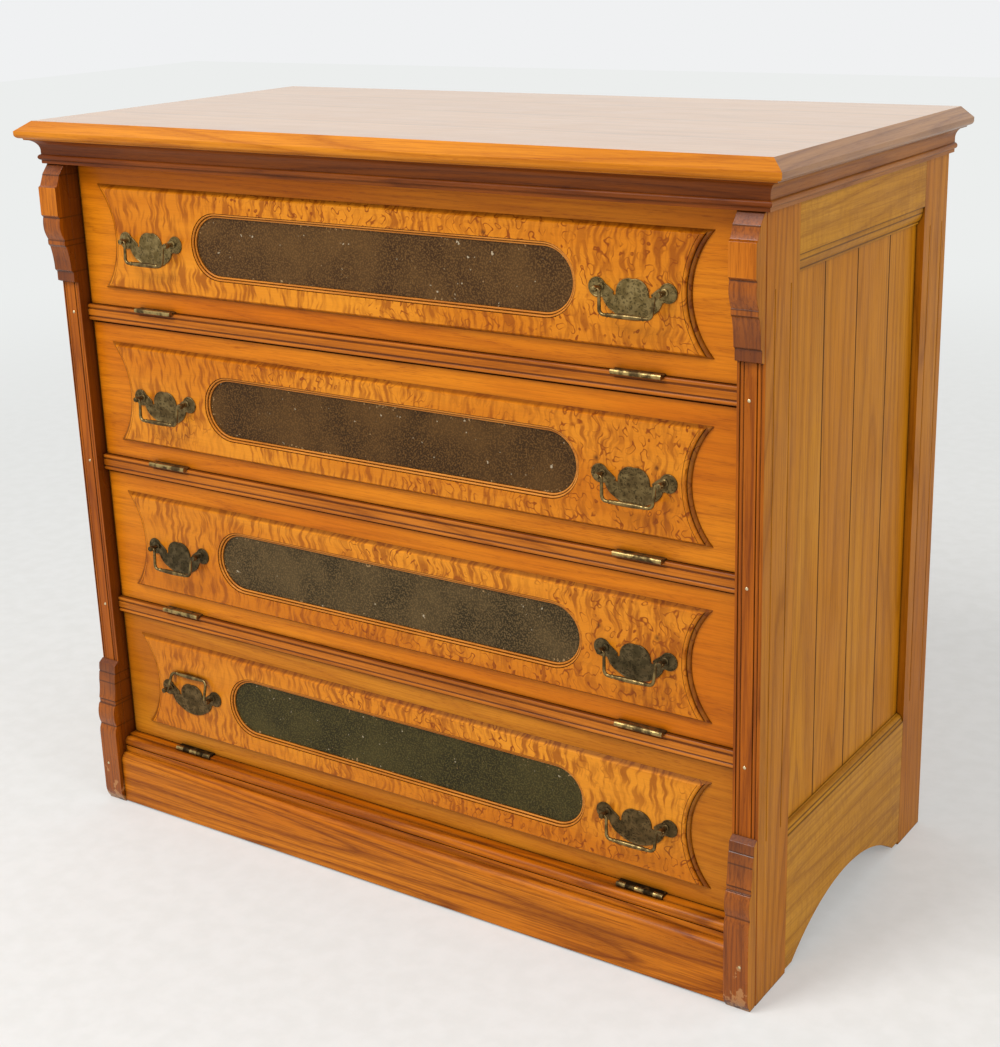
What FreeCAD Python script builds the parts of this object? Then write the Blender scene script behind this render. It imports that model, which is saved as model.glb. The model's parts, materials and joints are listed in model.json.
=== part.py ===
# A Victorian oak spool cabinet with four drop fronts, modelled in millimetres.
# X runs to the right seen from the front, Y runs back from the front, Z runs up from the floor.
# Pieces are drawn with Y = 0 on the face of the corner posts. Each piece's placement then moves it
# back, so that the origin lies on the floor under the middle of the cabinet's bounding box.
import FreeCAD, Part
import os
import Sketcher

doc = FreeCAD.newDocument("SpoolCabinet")

# The driving dimensions
DRIVING_SIZES = {
    # The case
    "case_depth": 516,
    "case_height": 987,
    "base_top": 101.5,
    "top_rail_height": 30.7,
    "rail_height": 22,
    "rail_face": 12.5,
    "rail_back": 70,
    "reed_groove": 2,
    "reed_bead": 5,
    "reed_sink": 1.3,
    "reed_quirk": 0.4,
    "cut_margin": 1,
    # The top board and its cornice
    "top_thick": 24,
    "top_flat": 12,
    "top_nose": 29.5,
    "top_bevel_drop": 12.5,
    "top_nose_lift": 6.5,
    "top_under_edge": 21,
    "top_under_lip": 1,
    "cornice_height": 32,
    "cornice_out": 21,
    "cornice_fillet": 6.5,
    "cornice_bead_out": 10,
    "cornice_bead_low": 4.5,
    "cornice_bead_high": 12,
    "cornice_neck": 0.5,
    "front_rail_back": 60,
    # The corner posts and their carved corbels
    "post_width": 32,
    "post_depth": 20,
    "post_reed_inset": 3.4,
    "post_reed_lip": 0.5,
    "post_reed_low": 0.1,
    "post_chamfer": 2,
    "upper_corbel_height": 159,
    "upper_corbel_out": 23.3,
    "lower_corbel_height": 219,
    "lower_corbel_out": 19.9,
    # The sides
    "side_frame_thick": 22,
    "side_recess": 10,
    "board_thick": 12,
    "board_tongue": 4,
    "board_tongue_reach": 5,
    "board_bevel": 0.8,
    "front_stile_back": 81,
    "back_stile_width": 75,
    "stile_groove_inset": 5,
    "stile_groove_rise": 11,
    "stile_groove_width": 2,
    "stile_groove_depth": 1.5,
    "front_stile_groove_a": 23,
    "front_stile_groove_b": 61,
    "back_groove_inset": 20,
    "back_groove_edge": 15,
    "panel_bottom": 196,
    "side_top_rail_height": 111,
    "side_moulding_height": 21,
    "side_sill_height": 11,
    "foot_gap": 5,
    "arch_rise": 51,
    "arch_radius": 275,
    "arch_offset": 1,
    # The inside and the back
    "shelf_thick": 16,
    "back_board_count": 9,
    "back_board_bottom": 30,
    "stop_width": 15,
    "stop_height": 12,
    "stop_depth": 12,
    "stop_gap": 0.3,
    # The base
    "base_board_face": 13,
    "base_board_thick": 20,
    "base_board_bottom": 2,
    "base_moulding_height": 37.5,
    "base_shelf_edge": 8,
    "base_shelf_thick": 3,
    "base_bead_radius": 6.2,
    "base_bead_inset": 4.3,
    "base_bead_foot": 8,
    "base_ovolo_radius": 11.5,
    "base_ovolo_lift": 2,
    # The drop fronts
    "front_width": 981,
    "front_end_gap": 2.5,
    "front_top_gap": 2.8,
    "front_thick": 19,
    "front_face": 18.5,
    "front_gap": 0.4,
    "front_back_ease": 3,
    "panel_thick": 7,
    "panel_low": 25,
    "panel_top_margin": 24.4,
    "panel_bevel": 5,
    "panel_end_margin": 33,
    "panel_end_sink": 27,
    "panel_end_reed": 4.7,
    "panel_end_lip": 0.7,
    "sign_end_margin": 168.5,
    "sign_margin": 26,
    "sign_step": 3,
    "sign_step_depth": 2.2,
    "sign_glass_thick": 1.5,
    "sign_glass_gap": 0.2,
    # The hinges
    "hinge_end_margin": 124.5,
    "hinge_length": 64,
    "hinge_axis_depth": 9,
    "hinge_axis_rise": 0.5,
    "hinge_knuckle_radius": 3.3,
    "hinge_knuckle_gap": 0.3,
    "hinge_pin_radius": 1.6,
    "hinge_running_gap": 0.05,
    "hinge_leaf_thick": 1.4,
    "hinge_leaf_gap": 0.2,
    "hinge_leaf_width": 26,
    "hinge_leaf_relief": 3.7,
    # The bail pulls
    "pull_end_margin": 96.5,
    "pull_below_middle": 1,
    "pull_post_half": 40,
    "plate_thick": 1.4,
    "plate_ear": 15.5,
    "plate_top": 12,
    "plate_bottom": 33.5,
    "post_collar_radius": 4.5,
    "post_collar_length": 1.5,
    "post_neck_radius": 2.9,
    "post_head_radius": 3.6,
    "post_head_half": 3,
    "post_tip": 1,
    "post_tip_radius": 2.4,
    "bail_axis_out": 1.5,
    "bail_pin_radius": 1.55,
    "bail_hole_radius": 1.65,
    "bail_pin_reach": 4.5,
    "bail_arm_radius": 2.1,
    "bail_arm_inset": 6.4,
    "bail_drop": 27.2,
    "bail_corner": 6,
    "bail_grip_half": 21,
    "bail_grip_radius": 3.1,
    "bail_grip_sink": 0.3,
    "bail_hang_lean": 7.4,
    "bail_raised_lean": 200,
}
FRONT_COUNT = 4
KNUCKLE_COUNT = 5
# How far across a side each joint between its boards lies, as a share of the way to the back stile
BOARD_JOINTS = (0.25, 0.503, 0.767)
SIDES = {"left": -1, "right": 1}

# Sizes that follow from the driving ones: the case fits round its fronts, the four openings share
# its height, and what is on a front keeps its margins to the front's edges.
FOLLOWING_SIZES = {
    "case_width": "front_width + 2 * (front_end_gap + post_width)",
    "opening_pitch": "(case_height - top_thick - top_rail_height + rail_height - base_top)"
                     f" / {FRONT_COUNT}",
    "front_height": "opening_pitch - rail_height - front_gap - front_top_gap",
    "panel_height": "front_gap + front_height - panel_low - panel_top_margin",
    "panel_tip": "front_width / 2 - panel_end_margin",
    "sign_half_length": "panel_tip - sign_end_margin",
    "sign_half_height": "panel_height / 2 - sign_margin",
    "pull_centre": "panel_tip - pull_end_margin",
    "pull_rise": "panel_low + panel_height / 2 - pull_below_middle",
    "hinge_centre": "front_width / 2 - hinge_end_margin",
    "plate_half_width": "pull_post_half + plate_ear",
    "bail_arm_half": "pull_post_half - bail_arm_inset",
    "bail_pin_end": "pull_post_half + bail_pin_reach",
    "panel_top": "case_height - top_thick - side_top_rail_height",
    "top_rail_flat_low": "panel_top + side_moulding_height",
    "bottom_rail_flat_top": "panel_bottom - side_sill_height",
    "stile_groove_bottom": "panel_bottom + stile_groove_rise",
    "stile_groove_top": "panel_top - stile_groove_inset",
    "back_stile_groove_a": "case_depth - back_stile_width + back_groove_inset",
    "back_stile_groove_b": "case_depth - back_groove_edge",
    "arch_middle": "(front_stile_back + case_depth - back_stile_width) / 2 - arch_offset",
    "cornice_cove_low": "cornice_height - cornice_out + cornice_fillet - cornice_neck",
    "base_board_top": "base_top - base_moulding_height",
}

sizes = doc.addObject("Spreadsheet::Sheet", "sizes")
rows = [(alias, str(number)) for alias, number in DRIVING_SIZES.items()]
rows += [(alias, f"={formula}") for alias, formula in FOLLOWING_SIZES.items()]
for row, (alias, content) in enumerate(rows, start=1):
    sizes.set(f"A{row}", alias.replace("_", " "))
    sizes.set(f"B{row}", content)
    sizes.setAlias(f"B{row}", alias)
    doc.recompute()

# Lines and faces that several pieces share
CASE_SIDE = "(sizes.case_width / 2)"
JAMB = "(sizes.case_width / 2 - sizes.post_width)"
FRAME_INSIDE = "(sizes.case_width / 2 - sizes.side_frame_thick)"
BOARD_FACE = "(sizes.case_width / 2 - sizes.side_recess)"
BACK_STILE = "(sizes.case_depth - sizes.back_stile_width)"
SIDE_SPAN = f"({BACK_STILE} - sizes.front_stile_back)"
BACK_BOARD = "(sizes.case_depth - sizes.board_thick)"
UNDER_TOP = "(sizes.case_height - sizes.top_thick)"
UNDER_CORNICE = f"({UNDER_TOP} - sizes.cornice_height)"
OPENING_TOP = f"(sizes.base_top + {FRONT_COUNT} * sizes.opening_pitch - sizes.rail_height)"
PANEL_FACE = "(sizes.front_face - sizes.panel_thick)"
PANEL_MIDDLE = "(sizes.panel_low + sizes.panel_height / 2)"
PANEL_HALF = "(sizes.panel_height / 2)"
PANEL_END_RADIUS = (f"(({PANEL_HALF} * {PANEL_HALF} + sizes.panel_end_sink * sizes.panel_end_sink)"
                    " / (2 * sizes.panel_end_sink))")
SIGN_GLASS_INSET = "(2 * sizes.sign_step)"
HINGE_STEP = f"(sizes.hinge_length / {KNUCKLE_COUNT})"
RAIL_LEAF_LOW = "(sizes.hinge_leaf_gap + sizes.hinge_leaf_thick)"
HINGE_REACH = "(sizes.hinge_axis_depth + sizes.hinge_leaf_width)"
PLATE_FACE = f"({PANEL_FACE} - sizes.plate_thick)"
MIDDLE_OF_DEPTH = "((sizes.case_depth - sizes.top_nose) / 2)"

sub_parts = []


def value(text):
    """The number that an expression of the sheet's sizes gives now."""
    return float(sizes.evalExpression(str(text)))


def level_of(number):
    """The height of the rail top that front `number` is hinged on. Front 1 is the top one."""
    return f"(sizes.base_top + {FRONT_COUNT - number} * sizes.opening_pitch)"


def bind(feature, **expressions):
    """Ties each named property of a feature to its expression."""
    for name, text in expressions.items():
        feature.setExpression(name, str(text))


def place(piece, across="0", back="0", up="0"):
    """Puts a piece at its place in the cabinet, relative to the middle of the bounding box."""
    bind(piece, **{
        ".Placement.Base.x": across,
        ".Placement.Base.y": f"{back} - {MIDDLE_OF_DEPTH}",
        ".Placement.Base.z": up,
    })
    return piece


def sub_part(piece, label, **position):
    """Marks a placed piece as one that is written out under its label."""
    piece.Label = label
    sub_parts.append(piece)
    return place(piece, **position)


def group_part(label, pieces, **position):
    """Several separate solids of one kind that make up one sub-part."""
    compound = doc.addObject("Part::Compound", f"{label}_group")
    compound.Links = pieces
    return sub_part(compound, label, **position)


def common(name, pieces):
    """The shape that all the pieces share."""
    shared = doc.addObject("Part::MultiCommon", name)
    shared.Shapes = pieces
    return shared


# Outlines, pads and cuts
def corner_of(pair):
    """An outline corner as a point of the sketch's plane."""
    return FreeCAD.Vector(value(pair[0]), value(pair[1]), 0)


def pinned(constraints, bindings, geometry, end, pair):
    """Holds one point of a sketch at its two expressions, measured from the sketch's origin."""
    for kind, text in zip(("DistanceX", "DistanceY"), pair):
        bindings.append((len(constraints), str(text)))
        constraints.append(Sketcher.Constraint(kind, -1, 1, geometry, end, value(text)))


def draw_outline(sketch, corners):
    """Draws a closed outline. A corner of two values ends a straight run. A corner of four values
    ends an arc, and its last two values are a point that the arc passes on its way."""
    constraints = []
    bindings = []
    runs = []
    previous = corners[-1]
    for corner in corners:
        begin, finish = corner_of(previous), corner_of(corner)
        if len(corner) == 2:
            runs.append((sketch.addGeometry(Part.LineSegment(begin, finish)), 1, 2))
        else:
            via = corner_of(corner[2:])
            turns_left = (via - begin).cross(finish - via).z > 0
            first, last = (begin, finish) if turns_left else (finish, begin)
            arc = sketch.addGeometry(Part.Arc(first, via, last))
            runs.append((arc, 1, 2) if turns_left else (arc, 2, 1))
            mark = sketch.addGeometry(Part.Point(via), True)
            constraints.append(Sketcher.Constraint("PointOnObject", mark, 1, arc))
            pinned(constraints, bindings, mark, 1, corner[2:])
        previous = corner
    for index, (geometry, tail, head) in enumerate(runs):
        before, _, before_head = runs[index - 1]
        constraints.append(Sketcher.Constraint("Coincident", before, before_head, geometry, tail))
        pinned(constraints, bindings, geometry, head, corners[index][:2])
    first_index = sketch.ConstraintCount
    sketch.addConstraint(constraints)
    for offset, text in bindings:
        sketch.setExpression(f"Constraints[{first_index + offset}]", text)


def draw_circle(sketch, across, up, radius):
    """Draws a circle held at its centre and its radius."""
    centre = corner_of((across, up))
    circle = sketch.addGeometry(Part.Circle(centre, FreeCAD.Vector(0, 0, 1), value(radius)))
    constraints = []
    bindings = []
    pinned(constraints, bindings, circle, 3, (across, up))
    bindings.append((len(constraints), radius))
    constraints.append(Sketcher.Constraint("Radius", circle, value(radius)))
    first_index = sketch.ConstraintCount
    sketch.addConstraint(constraints)
    for offset, text in bindings:
        sketch.setExpression(f"Constraints[{first_index + offset}]", text)


def new_body(name):
    """An empty body. It may end up as more than one solid."""
    body = doc.addObject("PartDesign::Body", name)
    body.AllowCompound = True
    return body


def new_sketch(body, plane, start="0"):
    """A sketch on one of the body's own planes, `start` away from it. In a "plan" sketch the axes
    are X and Y, in a "front" sketch X and Z, and in a "section" sketch Y and Z."""
    role = {"plan": "XY_Plane", "front": "XZ_Plane", "section": "YZ_Plane"}[plane]
    sketch = body.newObject("Sketcher::SketchObject", f"{body.Name}_sketch")
    sketch.AttachmentSupport = [(face, "") for face in body.Origin.OriginFeatures if face.Role == role]
    sketch.MapMode = "FlatFace"
    # The front plane looks forward, so a distance back from it counts as negative there.
    offset = f"-({start})" if plane == "front" else start
    bind(sketch, **{".AttachmentOffset.Base.z": offset})
    return sketch


def grow(body, kind, sketch, length, backwards=False):
    """A pad or a pocket of a sketch, which runs up, back or to the right unless `backwards`."""
    feature = body.newObject(f"PartDesign::{kind}", f"{body.Name}_{kind.lower()}")
    feature.Profile = sketch
    bind(feature, Length=length)
    looks_forward = sketch.AttachmentSupport[0][0].Role == "XZ_Plane"
    runs_along_normal = looks_forward == backwards
    feature.Reversed = (not runs_along_normal) if kind == "Pad" else runs_along_normal
    return feature


def add_pad(body, plane, corners, start, length, backwards=False):
    """Adds a prism of an outline to the body."""
    sketch = new_sketch(body, plane, start)
    draw_outline(sketch, corners)
    return grow(body, "Pad", sketch, length, backwards)


def cut_pocket(body, plane, corners, start, length, backwards=False):
    """Cuts a prism of an outline from the body."""
    sketch = new_sketch(body, plane, start)
    draw_outline(sketch, corners)
    return grow(body, "Pocket", sketch, length, backwards)


def padded(name, plane, corners, start, length, backwards=False):
    """A body that starts as one prism."""
    body = new_body(name)
    add_pad(body, plane, corners, start, length, backwards)
    return body


def oblong(left, right, low, high):
    """The corners of a rectangle."""
    return [(left, low), (right, low), (right, high), (left, high)]


def mirrored_run(half):
    """The start and the length of a run that is centred on the middle plane."""
    return f"-({half})", f"2 * ({half})"


def walked_back(corners):
    """An open run of corners walked the other way, with each arc's middle point kept on its arc."""
    back = [corners[-1][:2]]
    for corner, before in zip(corners[:0:-1], corners[-2::-1]):
        back.append(before[:2] + corner[2:])
    return back


def stadium(half_length, half_height, middle):
    """A long outline with half-round ends, drawn around the height `middle`."""
    straight = f"({half_length} - ({half_height}))"
    top = f"{middle} + {half_height}"
    bottom = f"{middle} - ({half_height})"
    return [
        (f"-{straight}", bottom),
        (straight, bottom),
        (straight, top, half_length, middle),
        (f"-{straight}", top),
        (f"-{straight}", bottom, f"-({half_length})", middle),
    ][1:]


# The top board and the cornice under it
def top_nose(edge, outward):
    """The moulded edge of the top board, from its top face round to its underside. `edge` is the
    case's face and `outward` the sign of the way that the moulding stands out from it."""
    def out(distance):
        return f"{edge} + {outward} * ({distance})"
    return [
        (out("sizes.top_flat"), "sizes.case_height"),
        (out("sizes.top_nose"), "sizes.case_height - sizes.top_bevel_drop"),
        (out("sizes.top_nose"), f"{UNDER_TOP} + sizes.top_nose_lift"),
        (out("sizes.top_under_edge + sizes.top_under_lip"), f"{UNDER_TOP} + sizes.top_nose_lift / 3",
         out("(sizes.top_nose * 3 + sizes.top_under_edge) / 4"),
         f"{UNDER_TOP} + sizes.top_nose_lift / 2"),
        (out("sizes.top_under_edge"), UNDER_TOP),
    ]


def make_top_board():
    """The top board: moulded on its front and both ends, plain at the back. It is what the board
    moulded along its front and the board moulded on both ends have in common."""
    run, length = mirrored_run(f"{CASE_SIDE} + sizes.top_nose")
    front_edge = top_nose("0", -1)
    back_edge = [("sizes.case_depth", UNDER_TOP), ("sizes.case_depth", "sizes.case_height")]
    lengthwise = padded("top_lengthwise", "section", front_edge + back_edge, run, length)
    ends = top_nose(CASE_SIDE, 1) + walked_back(top_nose(f"-{CASE_SIDE}", -1))
    crosswise = padded("top_crosswise", "front", ends, "-sizes.top_nose",
                       "sizes.case_depth + sizes.top_nose")
    return sub_part(common("top_shape", [lengthwise, crosswise]), "top_board")


def cornice_profile(edge, outward):
    """The cornice's section: a fillet, a bead, a second fillet and a cove under the top board."""
    def out(distance):
        return f"{edge} + {outward} * ({distance})"

    def up(distance):
        return f"{UNDER_CORNICE} + {distance}"
    cove = "(sizes.cornice_out - sizes.cornice_fillet)"
    return [
        (edge, UNDER_CORNICE),
        (out("sizes.cornice_fillet"), UNDER_CORNICE),
        (out("sizes.cornice_fillet"), up("sizes.cornice_bead_low")),
        (out("sizes.cornice_fillet"), up("sizes.cornice_bead_high"),
         out("sizes.cornice_bead_out"), up("(sizes.cornice_bead_low + sizes.cornice_bead_high) / 2")),
        (out("sizes.cornice_fillet"), up("sizes.cornice_cove_low")),
        (out("sizes.cornice_out"), up(f"sizes.cornice_cove_low + {cove}"),
         out(f"sizes.cornice_out - {cove} * cos(45)"), up(f"sizes.cornice_cove_low + {cove} * sin(45)")),
        (out("sizes.cornice_out"), UNDER_TOP),
        (edge, UNDER_TOP),
    ]


def make_cornice():
    """The cornice: one length along the front and one along each side, mitred at the corners."""
    reach = "(sizes.cornice_out + sizes.cut_margin)"
    run, length = mirrored_run(f"{CASE_SIDE} + {reach}")
    strip = padded("cornice_front_strip", "section", cornice_profile("0", -1), run, length)
    mitres = padded("cornice_front_mitres", "plan", [
        (f"-{CASE_SIDE}", "0"),
        (f"-{CASE_SIDE} - {reach}", f"-{reach}"),
        (f"{CASE_SIDE} + {reach}", f"-{reach}"),
        (CASE_SIDE, "0"),
    ], UNDER_CORNICE, "sizes.cornice_height")
    sub_part(common("cornice_front_shape", [strip, mitres]), "cornice_front")
    lengths = []
    for name, side in SIDES.items():
        profile = cornice_profile(f"{side} * {CASE_SIDE}", side)
        strip = padded(f"cornice_{name}_strip", "front", profile, f"-{reach}",
                       f"sizes.case_depth + {reach}")
        mitre = padded(f"cornice_{name}_mitre", "plan", [
            (f"{side} * {CASE_SIDE}", "0"),
            (f"{side} * ({CASE_SIDE} + {reach})", f"-{reach}"),
            (f"{side} * ({CASE_SIDE} + {reach})", "sizes.case_depth"),
            (f"{side} * {CASE_SIDE}", "sizes.case_depth"),
        ], UNDER_CORNICE, "sizes.cornice_height")
        lengths.append(common(f"cornice_{name}_shape", [strip, mitre]))
    group_part("cornice_sides", lengths)


def make_top_front_rail():
    """The plain rail behind the cornice, above the top opening."""
    run, length = mirrored_run(JAMB)
    outline = oblong("0", "sizes.front_rail_back", OPENING_TOP, UNDER_TOP)
    sub_part(padded("top_front_rail_body", "section", outline, run, length), "top_front_rail")


# The corner posts and corbels
def make_corner_post(name, side):
    """A corner post: plain behind the corbels and reeded between them."""
    def across(distance):
        return f"{side} * ({JAMB} + {distance})"

    def reed(start):
        low = across(start)
        high = across(f"{start} + sizes.reed_bead")
        return [
            (across(f"{start} - sizes.post_reed_lip"), "0"),
            (low, "sizes.stile_groove_depth"),
            (high, "sizes.stile_groove_depth", across(f"{start} + sizes.reed_bead / 2"),
             "sizes.post_reed_low"),
            (across(f"{start} + sizes.reed_bead + sizes.post_reed_lip"), "0"),
        ]
    outer_corner = [
        (across("sizes.post_width - sizes.post_chamfer"), "0"),
        (across("sizes.post_width"), "sizes.post_chamfer"),
        (across("sizes.post_width"), "sizes.post_depth"),
        (across("0"), "sizes.post_depth"),
    ]
    plain = [(across("0"), "0")] + outer_corner
    inner_reed = reed("sizes.post_reed_inset")
    outer_reed = reed("(sizes.post_width - sizes.post_reed_inset - sizes.reed_bead)")
    reeded = [(across("0"), "0")] + inner_reed + outer_reed + outer_corner
    reed_top = f"{UNDER_CORNICE} - sizes.upper_corbel_height"
    body = padded(f"corner_post_{name}_body", "plan", plain, "0", "sizes.lower_corbel_height")
    add_pad(body, "plan", reeded, "sizes.lower_corbel_height",
            f"{reed_top} - sizes.lower_corbel_height")
    add_pad(body, "plan", plain, reed_top, f"{UNDER_TOP} - ({reed_top})")
    sub_part(body, f"corner_post_{name}")


# A corbel's outline: each corner's projection and drop, in per cent of the corbel's own. An arc
# has two more values, a point that it passes.
UPPER_CORBEL = [
    (0, 0), (14, 0), (60, 8.2), (60, 8.8), (84, 17), (99, 18.2), (100, 41.5), (87, 43.4),
    (68, 62.3, 93.5, 50), (71, 62.9), (71, 66.7), (59, 68.6), (41, 88.7, 45.5, 78.6),
    (27.5, 90.6), (27.5, 98.4), (0, 100),
]
LOWER_CORBEL = [
    (0, 0), (39, 2.5), (45, 6.8), (42, 8.2), (48, 8.7), (54, 12.3), (57, 14.6),
    (74, 26.5, 61, 20.5), (69, 27), (69, 29.7), (80, 30.2), (81, 44.5, 96.5, 36.5), (96, 47.6),
    (99.5, 49.8), (100, 51), (100, 90.5), (70, 99, 92.3, 95), (66, 100), (0, 100),
]


def make_corbel(label, side, shares, top, height, out):
    """A carved corbel on the face of a corner post, of the post's own width."""
    def corner(share):
        pairs = zip(share[0::2], share[1::2])
        return tuple(text for across, drop in pairs for text in (
            f"-{out} * {across} / 100", f"{top} - {height} * {drop} / 100"))
    outline = [corner(share) for share in shares]
    body = padded(f"{label}_body", "section", outline, f"{side} * {JAMB}", "sizes.post_width", side < 0)
    sub_part(body, label)


# The sides of the case
def cut_stile_grooves(body, side, places):
    """The two stopped grooves along a stile's outer face."""
    for middle in places:
        cut_pocket(body, "plan", [
            (f"{side} * {CASE_SIDE}", f"{middle} - sizes.stile_groove_width / 2"),
            (f"{side} * ({CASE_SIDE} - sizes.stile_groove_depth)", middle),
            (f"{side} * {CASE_SIDE}", f"{middle} + sizes.stile_groove_width / 2"),
        ], "sizes.stile_groove_bottom", "sizes.stile_groove_top - sizes.stile_groove_bottom")


def make_stiles(name, side):
    """The upright at the front of a side, which is also the jamb of the fronts, and the one at its
    back. Both stand on the floor."""
    front = padded(f"front_stile_{name}_body", "plan", oblong(
        f"{side} * {JAMB}", f"{side} * {CASE_SIDE}", "sizes.post_depth", "sizes.front_stile_back",
    ), "0", UNDER_TOP)
    cut_stile_grooves(front, side, ["sizes.front_stile_groove_a", "sizes.front_stile_groove_b"])
    sub_part(front, f"front_stile_{name}")
    back = padded(f"back_stile_{name}_body", "plan", oblong(
        f"{side} * {FRAME_INSIDE}", f"{side} * {CASE_SIDE}", BACK_STILE, "sizes.case_depth",
    ), "0", UNDER_TOP)
    cut_stile_grooves(back, side, ["sizes.back_stile_groove_a", "sizes.back_stile_groove_b"])
    sub_part(back, f"back_stile_{name}")


def make_side_rails(name, side):
    """The rails of a side. Each has a moulded edge that steps down to the boards between them, and
    the bottom one is cut in an arch between the feet."""
    def across(share):
        return f"{side} * ({BOARD_FACE} + sizes.side_recess * {share})"
    length = f"{BACK_STILE} - sizes.front_stile_back"
    moulding = "(sizes.top_rail_flat_low - sizes.panel_top)"
    top = padded(f"side_top_rail_{name}_body", "front", [
        (f"{side} * {FRAME_INSIDE}", UNDER_TOP),
        (across("1"), UNDER_TOP),
        (across("1"), "sizes.top_rail_flat_low"),
        (across("0.75"), "sizes.top_rail_flat_low"),
        (across("0.25"), f"sizes.panel_top + {moulding} * 0.15",
         across("0.62"), f"sizes.panel_top + {moulding} * 0.45"),
        (across("0.25"), "sizes.panel_top"),
        (f"{side} * {FRAME_INSIDE}", "sizes.panel_top"),
    ], "sizes.front_stile_back", length)
    sub_part(top, f"side_top_rail_{name}")
    slope = "(sizes.panel_bottom - sizes.bottom_rail_flat_top)"
    bottom = padded(f"side_bottom_rail_{name}_body", "front", [
        (f"{side} * {FRAME_INSIDE}", "sizes.foot_gap"),
        (across("1"), "sizes.foot_gap"),
        (across("1"), "sizes.bottom_rail_flat_top"),
        (across("0.8"), f"sizes.bottom_rail_flat_top + {slope} * 0.2"),
        (across("0.15"), f"sizes.panel_bottom - {slope} * 0.1",
         across("0.6"), f"sizes.panel_bottom - {slope} * 0.3"),
        (across("0.15"), "sizes.panel_bottom"),
        (f"{side} * {FRAME_INSIDE}", "sizes.panel_bottom"),
    ], "sizes.front_stile_back", length)
    arch = new_sketch(bottom, "section", f"{side} * {CASE_SIDE}")
    draw_circle(arch, "sizes.arch_middle", "sizes.foot_gap + sizes.arch_rise - sizes.arch_radius",
                "sizes.arch_radius")
    grow(bottom, "Pocket", arch, "sizes.side_frame_thick", side > 0)
    sub_part(bottom, f"side_bottom_rail_{name}")


def tongued_board(name, edges, face, inward, ends, along_back, tongue, groove):
    """An upright board with a tongue on its second edge and a groove in its first, and with both
    edges of its face bevelled. The boards of the back lie along X, those of the sides along Y."""
    first, second = edges
    bottom, top = ends

    def corner(edge, depth):
        through = f"{face} + {inward} * ({depth})"
        return (edge, through) if along_back else (through, edge)
    cheek = "(sizes.board_thick - sizes.board_tongue) / 2"
    far_cheek = "(sizes.board_thick + sizes.board_tongue) / 2"
    outline = [
        corner(f"{first} + sizes.board_bevel", "0"),
        corner(f"{second} - sizes.board_bevel", "0"),
        corner(second, "sizes.board_bevel"),
    ]
    if tongue:
        reach = f"{second} + sizes.board_tongue_reach"
        outline += [corner(second, cheek), corner(reach, cheek), corner(reach, far_cheek),
                    corner(second, far_cheek)]
    outline += [corner(second, "sizes.board_thick"), corner(first, "sizes.board_thick")]
    if groove:
        reach = f"{first} + sizes.board_tongue_reach"
        outline += [corner(first, far_cheek), corner(reach, far_cheek), corner(reach, cheek),
                    corner(first, cheek)]
    outline.append(corner(first, "sizes.board_bevel"))
    return padded(name, "plan", outline, bottom, f"{top} - {bottom}")


def make_side_boards(name, side):
    """The four tongued boards that fill a side's frame."""
    joints = [f"(sizes.front_stile_back + {share} * {SIDE_SPAN})" for share in (0, *BOARD_JOINTS, 1)]
    boards = []
    for index, edges in enumerate(zip(joints, joints[1:])):
        boards.append(tongued_board(
            f"side_board_{name}_{index + 1}", edges, f"{side} * {BOARD_FACE}", -side,
            ("sizes.panel_bottom", "sizes.panel_top"), False,
            tongue=index < len(joints) - 2, groove=index > 0))
    group_part(f"side_panel_boards_{name}", boards)


def make_back_boards():
    """The tongued boards of the back, between the back stiles."""
    count = int(value("sizes.back_board_count"))
    width = f"(2 * {FRAME_INSIDE} / sizes.back_board_count)"
    boards = []
    for index in range(count):
        edges = tuple(f"({width} * {place_in_row} - {FRAME_INSIDE})" for place_in_row in (index, index + 1))
        boards.append(tongued_board(
            f"back_board_{index + 1}", edges, "sizes.case_depth", -1,
            ("sizes.back_board_bottom", UNDER_TOP), True,
            tongue=index < count - 1, groove=index > 0))
    group_part("back_boards", boards)


# The rails between the fronts, and the shelves behind them
def cut_rail_mortises(body, level, face):
    """The shallow beds that the hinges' rail leaves lie in, cut down from the height `level`."""
    half = "(sizes.hinge_length / 2)"
    depth = f"({RAIL_LEAF_LOW} - sizes.hinge_axis_rise)"
    for side in SIDES.values():
        cut_pocket(body, "plan", oblong(
            f"{side} * sizes.hinge_centre - {half}", f"{side} * sizes.hinge_centre + {half}",
            face, HINGE_REACH,
        ), f"{level} - {depth}", depth)


def make_front_rail(number):
    """The rail under one of the upper fronts. Its face has a bead along each edge."""
    back = "sizes.rail_back"
    face = "sizes.rail_face"
    sunk = "sizes.rail_face + sizes.reed_sink"
    bead = "sizes.reed_bead"
    groove = "(sizes.reed_bead + sizes.reed_groove)"
    low = "-sizes.rail_height"
    outline = [
        (back, "0"),
        (sunk, "0"),
        (sunk, f"-{bead}", face, f"-{bead} / 2"),
        (sunk, f"-{groove} + sizes.reed_quirk"),
        (face, f"-{groove}"),
        (face, f"{low} + {groove}"),
        (sunk, f"{low} + {groove} - sizes.reed_quirk"),
        (sunk, f"{low} + {bead}"),
        (sunk, low, face, f"{low} + {bead} / 2"),
        (back, low),
    ]
    run, length = mirrored_run(JAMB)
    body = padded(f"front_rail_{number}_body", "section", outline, run, length)
    cut_rail_mortises(body, "0", "0")
    sub_part(body, f"front_rail_{number}", up=level_of(number))


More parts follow.
